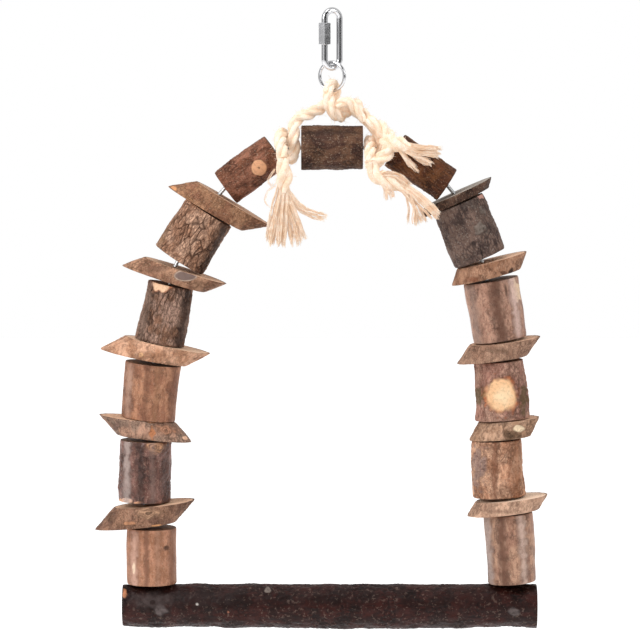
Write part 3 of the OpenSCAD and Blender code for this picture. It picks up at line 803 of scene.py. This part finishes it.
# %% Outline of a solid
def around(node, origin, axes, turns, heights, degree):
    """Radii of a solid about a line, in mm, by height and by angle."""
    mesh = node.data
    solid = BVHTree.FromPolygons([v.co for v in mesh.vertices],
                                 [tuple(f.vertices) for f in mesh.polygons])
    found = np.zeros((len(heights), len(turns)))
    for j, a in enumerate(turns):
        way = axes[0] * math.cos(a) + axes[1] * math.sin(a)
        for i, h in enumerate(heights):
            start = Vector((origin + axes[2] * h) * MM + way * 0.1)
            found[i, j] = 100 - solid.ray_cast(start, Vector(-way))[3] / MM
    waves = np.fft.rfft(found, axis=1)
    waves *= np.exp(-(np.arange(waves.shape[1]) / 11.0) ** 4)
    found = np.fft.irfft(waves, len(turns), axis=1)
    middle = heights.mean()
    return lambda fine: np.stack([np.polynomial.polynomial.polyval(
        fine - middle, np.polynomial.polynomial.polyfit(heights - middle, found, degree)
        [:, k]) for k in range(len(turns))], axis=1)


print("the top log has", len(nodes["top_log"].data.polygons), "faces in the CAD")

# %% [markdown]
# ## Marks on the bark
#
# Each log has its own knots, scars, chips and stains, and they make it that log. A patch is one such
# mark, placed where the picture shows it. The long bands down the logs are patches too, and they are
# painted light: the pale ones are painted highlights and the dark ones painted shade. Its kind says
# what it does to the bark: how far it flattens the relief, the level it leaves, the height of its rim
# and of its crumbs, the strength and the number of its rings, its pith, and how much of its reach the
# soft edge takes.

# %% Patches
PLAIN = dict(flat=1, level=0, rim=0, crumbs=0, rings=0, waves=17, pith=0, soft=0.15)
KINDS = {name: {**PLAIN, **own} for name, own in {
    "bare": dict(level=-0.35, crumbs=0.1),
    "chip": dict(level=-0.1, crumbs=0.3, soft=0.3),
    "knot": dict(level=0.25, rim=0.4, rings=0.14, pith=0.8),
    "scar": dict(level=-0.2, rim=0.6, crumbs=0.05, rings=0.06, soft=0.25),
    "whorl": dict(flat=0.8, level=0.35, rim=0.3, crumbs=0.3, rings=0.6, waves=12, pith=0.6, soft=0.5),
    # The last kind, a soft tint that leaves the relief alone, gives real stains of the bark, and also
    # the bands of painted highlight and painted shade down the logs.
    "crust": dict(flat=0.3, level=0.15, crumbs=0.6, soft=0.5),
    "stain_and_shading": dict(flat=0, soft=0.95)}.items()}


class Patch:
    """A listed place on the wood with a mark of its own. Its middle and its half sizes are in pixels,
    its lean is in degrees."""

    def __init__(self, x, y, wide, high, color, kind="bare", strength=1.0, lean=0, ragged=0.25):
        half = PICTURE / 2
        self.place = np.array([(x - half) * PIXEL + MIDDLE_X, (half - y) * PIXEL + MIDDLE_Z])
        self.size = np.array([wide, high]) * PIXEL
        self.color, self.lean, self.kind = np.array(rgb(color)), math.radians(lean), KINDS[kind]
        self.strength, self.ragged = strength, ragged

    def reach(self, world, seed):
        """0 in the middle, 1 at the edge, over a ragged outline, at points in mm."""
        x, y, z = np.moveaxis(world, -1, 0)
        d = np.stack([x, z + y * math.sin(ABOVE)], axis=-1) - self.place
        c, s = math.cos(self.lean), math.sin(self.lean)
        d = np.stack([c * d[..., 0] + s * d[..., 1], c * d[..., 1] - s * d[..., 0]], axis=-1)
        edge = np.hypot(*np.moveaxis(d / self.size, -1, 0))
        return edge + self.ragged * sampled(world, 1.8, seed) + 0.4 * np.maximum(0, y + 3)

    def mark(self, world, seed, height, plain, colors):
        """Changes the relief, the share of plain bark and the colours."""
        edge, k = self.reach(world, seed), self.kind
        inside = 1 - smoothstep(edge, 1 - k["soft"], 1.05)
        crumbs = k["crumbs"] * sampled(world, 0.8, seed + 50)
        height = height * (1 - inside * k["flat"]) + inside * (k["level"] + crumbs)
        rings = k["rings"] * np.sin(edge * k["waves"]) ** 2
        height = height + k["rim"] * np.exp(-((edge - 1.1) / 0.14) ** 2) - 0.4 * inside * rings
        shade = 1 - rings - k["pith"] * np.exp(-(edge / 0.1) ** 2) + 0.6 * crumbs
        keep = (inside * self.strength)[..., None]
        target = self.color * np.append(np.ones(3), 0) * shade[..., None] + [0, 0, 0, 1]
        return height, plain * (1 - inside * k["flat"]), colors * (1 - keep) + target * keep


def long_stain(x, y, wide, color, strength, lean=0):
    """A band that runs along a log and past both of its ends. Most of these bands are painted light: a
    pale one is a painted highlight down the side of a log that a lamp catches, and a dark one is
    painted shade between two highlights or down the log's shaded side.
    """
    return Patch(x, y, wide, 400, color, "stain_and_shading", strength, lean)


print(len(KINDS), "kinds of marks")

# %% [markdown]
# ## A piece of wood
#
# The bark is a sheet of rows round the bore, and two sawn faces and the wall of the bore close it.
# What the material needs is stored at the points: the place in the wood, the mark, which says
# whether it is sawn, how near the rim it is and how plain its bark is, and the tint and the cracks.

# %% Sheets of points
def sheet(points):
    """Quads between rows of points that close round."""
    rows, n = points.shape[:2]
    i, j = np.meshgrid(np.arange(rows - 1), np.arange(n), indexing="ij")
    k = (j + 1) % n
    return np.stack([i * n + j, i * n + k, (i + 1) * n + k, (i + 1) * n + j], -1).reshape(-1, 4)


class Skin:
    """The sheets of one piece of wood, with what the material reads at each point."""

    FIELDS = {"grain": ("FLOAT_VECTOR", "vector"), "mark": ("FLOAT_VECTOR", "vector"),
              "tint": ("FLOAT_COLOR", "color"), "dip": ("FLOAT", "value")}

    def __init__(self, world, seed):
        self.world, self.seed, self.count = world, seed, 0
        self.places, self.faces = [], []
        self.values = {name: [] for name in self.FIELDS}

    def add(self, points, flip, sawn, rim, plain=1.0, tint=0.0, dip=0.0):
        shape = points.shape[:2]
        quads = sheet(points) + self.count
        self.places.append(self.world(points).reshape(-1, 3))
        self.faces.append(quads[:, ::-1] if flip else quads)
        self.values["grain"].append(points.reshape(-1, 3) + self.seed * 13.0)
        self.values["mark"].append(np.stack(
            [np.broadcast_to(v, shape) for v in (sawn, rim, plain)], -1).reshape(-1, 3))
        self.values["tint"].append(np.broadcast_to(tint, (*shape, 4)).reshape(-1, 4))
        self.values["dip"].append(np.broadcast_to(dip, shape).ravel())
        self.count += shape[0] * shape[1]

    def mesh(self, name, paint):
        made = bpy.data.meshes.new(name)
        made.from_pydata(np.concatenate(self.places) * MM, [],
                         np.concatenate(self.faces).tolist())
        made.materials.append(paint)
        for label, (kind, field) in self.FIELDS.items():
            values = np.concatenate(self.values[label])
            made.attributes.new(label, kind, "POINT").data.foreach_set(field, values.ravel())
        return made


print("a sheet of 3 rows of 8 points has", len(sheet(np.zeros((3, 8, 3)))), "quads")

# %% [markdown]
# The solid gives a piece its length and its outline, the relief and the marks change its bark, and
# the sawn faces stay where the solid has them, so that neighbours on the wire never meet. The perch
# has no bore through it, so the middle of each of its faces is drawn together to one point.

# %% Making a piece of wood
BORE_R, FACE_ROWS = 1.6, 12


def close_middles(mesh, middles):
    """Makes one point of the innermost ring of a sawn face without a bore."""
    work = bmesh.new()
    work.from_mesh(mesh)
    near = [v for v in work.verts if min((v.co - m).length for m in middles) < 1e-6]
    bmesh.ops.remove_doubles(work, verts=near, dist=1e-6)
    work.to_mesh(mesh)
    work.free()


def woodwork(name, node, kind, paint, seed, patches, size, origin=None, axes=None, degree=2,
             hole=BORE_R, cell=1.7, long=0.6):
    """The object for one piece of wood: bark, two sawn faces, and the wall of its bore."""
    if axes is None:
        joint = joints[node]
        along, across = np.array(joint["axis"], float), np.array([0, 1.0, 0])
        origin, axes = np.array(joint["pos_m"]) / MM, (np.cross(across, along), across, along)
    solid = nodes[node]
    corners = np.array([v.co for v in solid.data.vertices]) / MM - origin
    low, high = (corners @ axes[2]).min(), (corners @ axes[2]).max()
    turns = np.arange(size[1]) * math.tau / size[1]
    outline = around(solid, origin, axes, turns, np.linspace(low, high, 2 * degree + 7)[1:-1],
                     degree)
    heights = np.linspace(low, high, size[0])
    base = outline(heights)
    way = np.cos(turns)[:, None] * axes[0] + np.sin(turns)[:, None] * axes[1]

    def local(r, h):
        return np.stack([r * np.cos(turns), r * np.sin(turns), h + 0 * r], axis=-1)

    def world(q):
        return origin + q @ np.array(axes)

    q = local(base, heights[:, None])
    height, dip = relief(q + seed * 7.0, kind, cell, long, seed)
    plain, colors = np.ones(height.shape), np.zeros((*height.shape, 4))
    for number, patch in enumerate(patches):
        height, plain, colors = patch.mark(world(q), seed + number, height, plain, colors)
    # the saw leaves the rim of the bark a little worn
    worn = 0.25 * np.exp(-np.minimum(heights - low, high - heights) / 0.35)[:, None]
    bark = local(base + height - worn, heights[:, None])

    skin = Skin(world, seed)
    skin.add(bark, False, 0.0, 1.0, plain, colors, dip * plain)
    shares = 1 - np.linspace(0, 1, FACE_ROWS) ** 1.25
    for end, flip in ((0, True), (-1, False)):
        edge = np.linalg.norm(bark[end, :, :2], axis=-1)
        r = hole + (edge - hole) * shares[:, None]
        face = local(r, bark[end, 0, 2])
        inner = ((shares > 0) & (shares < 1))[:, None]
        inward = (0.05 + 0.05 * sampled(face * [0.25, 1, 1], 1.2, seed + 9)) * inner
        face[..., 2] += inward if end == 0 else -inward
        skin.add(face, flip, 1.0, shares[:, None])
    if hole:
        wall = local(np.full((2, len(turns)), hole), np.array([[low], [high]]))
        skin.add(wall, True, 1.0, 0.1)

    mesh = skin.mesh(name, paint)
    if not hole:
        close_middles(mesh, [Vector(world(np.array([0, 0, h])) * MM) for h in (low, high)])
    mesh.shade_smooth()
    return placed(name, mesh, (0, 0, 0))


print("a sawn face is", FACE_ROWS, "rows of points round a bore", 2 * BORE_R, "mm wide")

# %% [markdown]
# ## The colours of the wood
#
# One recipe makes every bark: broad patches of a mid and a light tone, darker streaks along the grain,
# a network of cracks that are painted far darker than the bark as painted shade in them, fine pale
# flecks, and the listed patches, whose long bands down the logs are painted highlight and painted
# shade. `cell` is the size of the bark's plates in mm, `long` below 1 draws them out along the branch,
# and a lower `cover` spreads the cracks wider. The sawn faces show growth rings and a dark rim of
# bark. The logs' sawn faces are a dark brown, painted shade for the narrow gaps beside the slices
# where they show.

# %% The finish of wood
# The sawn tone left as it is, a dark brown, is painted shade: the logs keep it, and their sawn faces
# show only in the narrow gaps beside the slices, where it passes for the shadow in them.
def wood_look(mid, light, dark, sawn="7d5c44", cell=1.7, long=0.6, cover=0.5, crack=0.6,
              streak=0.5, flecks=0.3, fleck_size=0.8, fleck_color="c4ac94", rough=0.55, gloss=0.0):
    def build(net):
        grain = net.named("grain")
        marks = net.node("SeparateXYZ", 0, net.named("mark")).socket.node
        is_sawn, rim, plain = (Value(net, marks.outputs[k]) for k in range(3))
        wavy = net.vector("ADD", grain, net.scaled(net.drift(grain, 0.6 / cell, 2), 1.4 * cell))
        scales = net.node("TexVoronoi", 0, net.vector("MULTIPLY", wavy, (1, 1, long)),
                          Scale=2.3 / cell, feature="DISTANCE_TO_EDGE")
        here = net.step(net.noise(grain, 7, 2), cover, cover + 0.08) * plain
        scaly = here * (1 - net.step(scales, 0.02, 0.2))
        cracks = net.math("MAXIMUM", net.named("dip", "FLOAT"), scaly * 0.6)
        drawn = net.vector("MULTIPLY", grain, (1, 1, 0.3))
        lines = net.noise(drawn, 1.3, 4, 0.65)
        blots = net.noise(grain, 1.5, 4, 0.72)
        fine = net.noise(grain, 0.5, 3, 0.75)
        bark = net.mix(net.step(net.noise(grain, 8, 2), 0.42, 0.58), rgb(mid), rgb(light))
        for spots, low, high, share, color in (
                (lines, 0.48, 0.62, streak, rgb(dark)),
                (net.noise(drawn, 2.8, 3), 0.54, 0.64, 0.5, rgb(light, 1.2)),
                (blots, 0.52, 0.62, 0.42, rgb(dark)),
                (fine, 0.57, 0.66, 0.4, rgb(dark, 0.7)),
                (net.noise(wavy, fleck_size, 3, 0.7), 0.58, 0.63, flecks, rgb(fleck_color))):
            bark = net.mix(net.step(spots, low, high) * share, bark, color)
        # Painted shade: the cracks are painted far darker than the bark's dark tone.
        bark = net.mix(cracks * crack, bark, rgb(dark, 0.4))
        # The tint holds the colours of the patches, among them the bands of painted highlight and
        # painted shade down the logs; blots of the dark tone are mixed into it.
        tint = net.named("tint", "COLOR")
        aged = net.mix(net.step(blots, 0.5, 0.62) * 0.22, tint, rgb(dark))
        bark = net.mix(net.named("tint", "ALPHA"), bark, aged)
        turns = net.math("SINE", (rim + net.noise(grain, 5, 1) * 0.16) * 85.0)
        cut = net.mix(net.step(turns, -0.4, 1.0) * 0.35, rgb(sawn), rgb(sawn, 0.62))
        cut = net.mix(net.step(fine, 0.5, 0.75) * 0.4, cut, rgb(sawn, 0.7))
        cut = net.mix(net.step(rim, 0.94, 0.975) * 0.85, cut, rgb(dark))
        height = lines * 0.5 + blots * 0.4 + fine * 0.3 - scaly * crack
        bump = net.node("Bump", 0, Strength=0.7, Distance=0.0005, Height=height)
        return dict(Base_Color=net.mix(is_sawn, bark, cut), Normal=bump, Coat_Roughness=0.3,
                    Roughness=net.step(blots, 0.4, 0.6) * 0.15 + rough, Coat_Weight=gloss,
                    Specular_IOR_Level=0.15)
    return build


print("a finish of wood is given by up to", wood_look.__code__.co_argcount, "values")

# %% [markdown]
# ## Every log and slice
#
# The table gives each piece its slot, its relief, and its mid, light and dark tones, from the top of
# the arch down.

# %% Colours of each piece
WOOD = {
    "top_log": ("wood_dark", "rough", "4e342a 674937 2c1b15", dict(
        cover=0.6, flecks=0.55, fleck_color="a89480")),
    "left_log_1": ("wood_brown", "rough", "764934 97644e 3b2117", dict(
        cell=2.0, cover=0.45, flecks=0.35)),
    "left_slice_1": ("wood_olive", "rough", "98684f b18363 5d3d2a", dict(cell=1.5, cover=0.4)),
    "left_log_2": ("wood_bark", "plated", "ae8166 cfa489 58382a", dict(
        cell=3.5, long=0.42, cover=0.3, crack=0.8)),
    "left_slice_2": ("wood_olive", "rough", "a0735c be9074 6b4e36", dict(cover=0.45)),
    "left_log_3": ("wood_umber", "plated", "89634e ae8b79 463228", dict(
        cell=2.6, long=0.3, cover=0.38, crack=0.75)),
    "left_slice_3": ("wood_tan", "rough", "c28e6e dfae8f 855b45", dict(sawn="f0c8a8", cover=0.5)),
    "left_log_4": ("wood_rose", "smooth", "9d6b52 b78365 6b4330", dict(cover=0.55, gloss=0.15)),
    "left_slice_4": ("wood_tan", "rough", "a48674 bd927b 5f4639", dict(cell=2.2, cover=0.42)),
    "left_log_5": ("wood_umber", "rough", "6d493f 90685d 3e2721", dict(
        cover=0.55, gloss=0.3, rough=0.45)),
    "left_slice_5": ("wood_olive", "rough", "8c6755 aa8067 52362a", dict(cell=1.5, cover=0.4)),
    "left_log_6": ("wood_tan", "smooth", "a47256 bd886c 7a4e38", dict(
        cover=0.62, gloss=0.15, rough=0.5, streak=0.35)),
    "right_log_1": ("wood_dark", "rough", "55311f 74492c 2d1910", dict(cover=0.5, flecks=0.2)),
    "right_slice_1": ("wood_charcoal", "rough", "4a3328 62483a 2a1c16", dict(
        sawn="aca196", cover=0.5)),
    "right_log_2": ("wood_charcoal", "rough", "5e4b42 765f54 372a2b", dict(
        cover=0.62, flecks=0.6, fleck_color="968a80")),
    "right_slice_2": ("wood_rose", "smooth", "946a51 b2866b 603f30", dict(cover=0.5)),
    "right_log_3": ("wood_rose", "smooth", "a47a66 bb907a 664536", dict(
        cover=0.56, gloss=0.25, rough=0.45)),
    "right_slice_3": ("wood_grey", "rough", "a9816a c19980 715242", dict(cover=0.4)),
    "right_log_4": ("wood_olive", "rough", "b18271 cb9f8a 684336", dict(cell=1.5, cover=0.38)),
    "right_slice_4": ("wood_tan", "rough", "ae876c caa286 6c4d39", dict(cell=2.0, cover=0.45)),
    "right_log_5": ("wood_rose", "rough", "bf8b6d e0b091 754b37", dict(
        cell=2.0, long=0.75, cover=0.42, crack=0.6)),
    "right_slice_5": ("wood_tan", "rough", "bd967e d8af94 7e5d4a", dict(sawn="fcdcc0", cover=0.5)),
    "right_log_6": ("wood_tan", "smooth", "a27762 be947b 6e4a37", dict(
        cover=0.5, gloss=0.25, rough=0.45))}
print("slots:", sorted({row[0] for row in WOOD.values()}))

# %% [markdown]
# The marks stand in the order in which they are laid on, so a later one covers an earlier one. The
# large pale scar on the right and the knot near the top are the two that the eye finds first.

# %% Marks of each piece
# The long bands down the logs are painted light: a pale band is a painted highlight where a lamp
# catches the log, and a dark one is painted shade between the highlights or down the log's shaded
# side.
PATCHES = {
    "top_log": [Patch(332, 133, 40, 5, "3a2a24", "stain_and_shading", 0.6)],
    "left_log_1": [
        Patch(259.5, 168.3, 8.2, 8.2, "e2a880", "knot", ragged=0.08),
        Patch(245, 185, 12, 6, "4a2c20", "stain_and_shading", 0.6, lean=36)],
    "left_slice_1": [
        Patch(174.5, 188, 5, 2.4, "d89a6c", "chip", lean=-35),
        Patch(190, 199, 9, 1.6, "c08a60", "stain_and_shading", 0.8, lean=-35)],
    "left_log_2": [
        # painted shade down the log's right side, and a painted highlight down its left
        long_stain(216, 247, 9, "2e211c", 0.9, lean=-26),
        long_stain(167, 224, 8, "b08a68", 0.6, lean=-26)],
    "left_slice_2": [
        Patch(187, 276, 12.5, 6, "ccb4a2", "bare", 0.9, ragged=0.05),
        Patch(187, 276, 11.2, 5, "74605a", "bare", 0.95, ragged=0.05),
        Patch(160, 269, 16, 5, "8c6a5a", "stain_and_shading", 0.5)],
    "left_log_3": [
        Patch(162, 285, 12.5, 8.5, "c8805c", "chip", 0.8, lean=-8),
        Patch(162, 284.5, 11, 7, "f2c8a4", lean=-8),
        # painted shade down the log's right side, and a painted highlight down its left
        long_stain(185, 318, 8, "3c2c26", 0.8, lean=-10),
        long_stain(144, 320, 6, "a08474", 0.6, lean=-10)],
    "left_slice_3": [
        Patch(142.4, 354.5, 2.6, 2.4, "e0b488", "knot", ragged=0.1),
        Patch(150, 355, 17, 4, "c88c66", "whorl", 0.6, ragged=0.5),
        Patch(105, 344, 6, 3, "7a4c3c", "stain_and_shading", 0.7)],
    "left_log_4": [
        # pale bands: painted highlights; dark bands: painted shade between them
        long_stain(129, 388, 8, "cca490", 0.75, lean=-5),
        long_stain(148, 380, 5, "845440", 0.55, lean=-4),
        long_stain(158, 382, 5, "c8926c", 0.5, lean=-4),
        long_stain(174, 385, 5, "7c4c38", 0.6, lean=-4)],
    "left_slice_4": [
        Patch(152, 422, 5, 1.8, "e8a070", "chip", 0.8),
        Patch(153, 433, 3.5, 6, "d08454", "chip", 0.8, ragged=0.5),
        Patch(165, 430, 13, 6, "cc9272", "whorl", 0.85, lean=-8, ragged=0.35),
        Patch(186, 438.5, 4, 2.6, "f0c0a0", "chip"),
        Patch(116, 426, 5, 8, "86685c", "stain_and_shading", 0.8, lean=-40)],
    "left_log_5": [
        Patch(155.5, 448, 13, 7.5, "dea67e", "whorl", 0.9, ragged=0.35),
        Patch(125, 501.5, 9, 3, "e4ac88", "chip", ragged=0.5),
        Patch(139, 503, 5, 2, "e0a480", "chip", ragged=0.5),
        # pale bands: painted highlights; dark bands: painted shade between them
        long_stain(127, 470, 7, "b8a49c", 0.85),
        long_stain(141, 475, 6, "382824", 0.75),
        long_stain(153, 475, 5, "94786e", 0.6),
        long_stain(166, 475, 6, "4e3a34", 0.5)],
    "left_slice_5": [
        Patch(148, 514, 16, 7, "cca080", "whorl", 0.85, ragged=0.35),
        Patch(131, 524, 7, 2, "c88e68", "chip", 0.8, ragged=0.5),
        Patch(158, 526.5, 5, 1.8, "dca070", "chip", ragged=0.5),
        Patch(108, 518, 9, 8, "6a503c", "stain_and_shading", 0.6)],
    "left_log_6": [
        Patch(166.8, 549, 3.4, 3.6, "54382a", "crust", 0.9),
        # pale bands: painted highlights; dark bands: painted shade between them
        long_stain(134, 552, 8, "d8ac98", 0.85),
        long_stain(146.5, 552, 4, "885c48", 0.8),
        long_stain(158, 552, 5, "d8a68a", 0.5),
        long_stain(172, 552, 5, "8a5c48", 0.6),
        Patch(133.5, 570, 1.8, 6, "f0d4b8", "chip", 0.9)],
    "right_log_1": [Patch(440, 168, 10, 10, "8c4a2c", "stain_and_shading", 0.5)],
    "right_log_2": [
        Patch(480.5, 196, 5.5, 3, "dca898", "chip", 0.9, ragged=0.5),
        Patch(478, 229, 8, 7, "8c8076", "crust", 0.7, ragged=0.5),
        Patch(482, 212, 6, 6, "968a80", "crust", 0.5, ragged=0.6),
        Patch(466, 204, 12, 6, "7c7068", "crust", 0.4, ragged=0.6),
        Patch(472, 244, 3, 3, "302624", "crust", 0.8),
        Patch(480, 252, 0.9, 9, "1e1614", "bare", 0.9, lean=12)],
    "right_slice_2": [
        Patch(509.5, 272, 2.6, 5, "2c1a12", "crust", 0.95, lean=-25),
        Patch(503, 273, 5, 2, "5a3424", "crust", 0.8),
        Patch(472, 280, 14, 7, "8c5034", "stain_and_shading", 0.7)],
    "right_log_3": [
        Patch(515, 289, 6, 13, "ecccaa", "chip", 0.9, lean=8, ragged=0.5),
        Patch(505, 291, 1.8, 15, "4a3024", "stain_and_shading", 0.9, lean=8),
        # a dark band of painted shade down the middle, with painted highlights down both sides
        long_stain(497, 312, 10, "5a3829", 0.8, lean=8),
        long_stain(515, 312, 7, "d4b4a8", 0.9, lean=8),
        long_stain(474, 312, 6, "b09486", 0.6, lean=8)],
    "right_slice_3": [Patch(497, 351, 20, 4, "765440", "stain_and_shading", 0.6)],
    "right_log_4": [
        Patch(500.5, 396, 19.5, 23, "c06c40", "crust", 0.85, ragged=0.35),
        Patch(500.3, 395, 16, 19, "f2c294", "scar", ragged=0.12),
        Patch(502, 396, 13, 15, "f8dcb4", "stain_and_shading", 0.9),
        Patch(478, 396, 7, 14, "6e6244", "crust", 0.7, ragged=0.5),
        Patch(523, 398, 6, 18, "6a583a", "crust", 0.8, ragged=0.5)],
    "right_slice_4": [
        Patch(509, 435, 13, 8, "7e6048", "whorl", 0.9, ragged=0.5),
        Patch(518.4, 428.6, 7, 4, "ecd2b0", "chip", 1.0, ragged=0.15)],
    "right_log_5": [
        Patch(479, 468, 9, 26, "9c8a8a", "crust", 0.6, ragged=0.5),
        long_stain(517, 474, 8, "c08460", 0.6),
        long_stain(494, 468, 5, "8c5840", 0.7),
        Patch(508, 494, 12, 12, "7a5440", "crust", 0.4, ragged=0.5)],
    "right_slice_5": [Patch(500, 512, 26, 3, "8c6450", "stain_and_shading", 0.5)],
    "right_log_6": [
        # a dark band of painted shade down the middle, with painted highlights down both sides
        long_stain(502, 545, 7, "6e4836", 0.85, lean=4),
        long_stain(523, 548, 8, "dcbcac", 0.85, lean=4),
        long_stain(489, 548, 6, "c4aca2", 0.8, lean=4)]}
print(sum(map(len, PATCHES.values())), "marks on", len(PATCHES), "pieces of wood")

# %% Logs and slices
GRIDS = {"slice": (30, 260), "plated": (130, 270), "rough": (105, 220), "smooth": (105, 220)}
for number, (name, (slot, kind, tones, look)) in enumerate(WOOD.items()):
    # The slices get a pale sawn tone of their own. The logs keep the dark one, which is painted shade
    # for the gaps beside the slices.
    pale = dict(sawn="e8bc9c") if "slice" in name else {}
    paint = material("bark_" + name, wood_look(*tones.split(), **{**pale, **look}))
    plates = {key: look[key] for key in ("cell", "long") if key in look}
    made = woodwork("wooden_" + name, name, kind, paint, number + 1, PATCHES.get(name, ()),
                    GRIDS["slice" if pale else kind], **plates)
    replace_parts(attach(made, name), name)
print(len(WOOD), "pieces of wood on the wire, the last with", len(made.data.polygons), "faces")

# %% [markdown]
# ## The perch
#
# The perch is a thicker branch with dark, almost smooth bark and pale specks. It is made as the logs
# are, along its own length, and it has no bore from end to end.

# %% Perch
perch_box = np.array([v.co for v in nodes["perch"].data.vertices]) / MM
perch_middle = (perch_box.min(0) + perch_box.max(0)) / 2
right, back, up = np.eye(3)
perch = woodwork("wooden_perch", "perch", "rough", material("bark_perch", wood_look(
    "260f0b", "381712", "120706", fleck_color="8c766a", flecks=0.3, fleck_size=1.8, cover=0.62,
    sawn="cba47c", rough=0.42, gloss=0.05)), 40, [
        Patch(160.7, 612, 8, 7.5, "6e6260", "crust", 0.85),
        Patch(190, 600, 110, 18, "2e2221", "stain_and_shading", 0.75),
        Patch(150, 602, 30, 14, "524644", "stain_and_shading", 0.7),
        Patch(152, 604, 3, 3, "281a18", "chip"),
        Patch(124, 595, 3, 5, "c88660", "chip", 0.9),
        Patch(267.5, 592, 3.6, 3, "7c7068", "knot"),
        Patch(197, 605.7, 1.8, 1.6, "d8d0c8", "crust"),
        Patch(228, 613.8, 1.6, 1.6, "b87860", "crust"),
        Patch(514, 613, 7, 6, "6c605e", "crust", 0.85),
        Patch(470, 600, 60, 18, "3e1e1a", "stain_and_shading", 0.5),
        Patch(330, 600, 90, 16, "22100d", "stain_and_shading", 0.5)],
    (420, 150), perch_middle, (-up, back, right), degree=9, hole=0)
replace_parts(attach(perch, "arch"), "perch")
print("perch:", len(perch.data.polygons), "faces")

# %% [markdown]
# ## Metal
#
# The link, its sleeve, the ring and the arch stay the CAD solids themselves, which are exact. Zinc
# plate is bright, and the drawn wire of the arch is duller.

# %% Metal
def metal_look(tone, rough):
    def build(net):
        spot = net.node("TexCoord", 3)
        worn = net.noise(spot, 3 * MM, 3)
        return dict(Base_Color=net.mix(worn * 0.5, rgb(tone), rgb(tone, 0.75)), Metallic=1.0,
                    Roughness=rough + worn * 0.12)
    return build


bright = material("zinc_plate", metal_look("d2d2d4", 0.12))
wire_steel = material("galvanised_wire", metal_look("a8a8a8", 0.3))
for name, paint in (("quick_link", bright), ("link_sleeve", bright), ("hanging_ring", bright),
                    ("arch_wire", wire_steel)):
    nodes[name].data.materials.clear()
    nodes[name].data.materials.append(paint)
    print(name, "is of", paint.name)

# %% [markdown]
# ## Sizes
#
# The looks must not make the swing larger, so both boxes are written down.

# %% Sizes and finish
boxes = {"cad": first_box, "scene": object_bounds()}
boxes = {name: [[round(c, 5) for c in corner] for corner in box] for name, box in boxes.items()}
print(boxes)
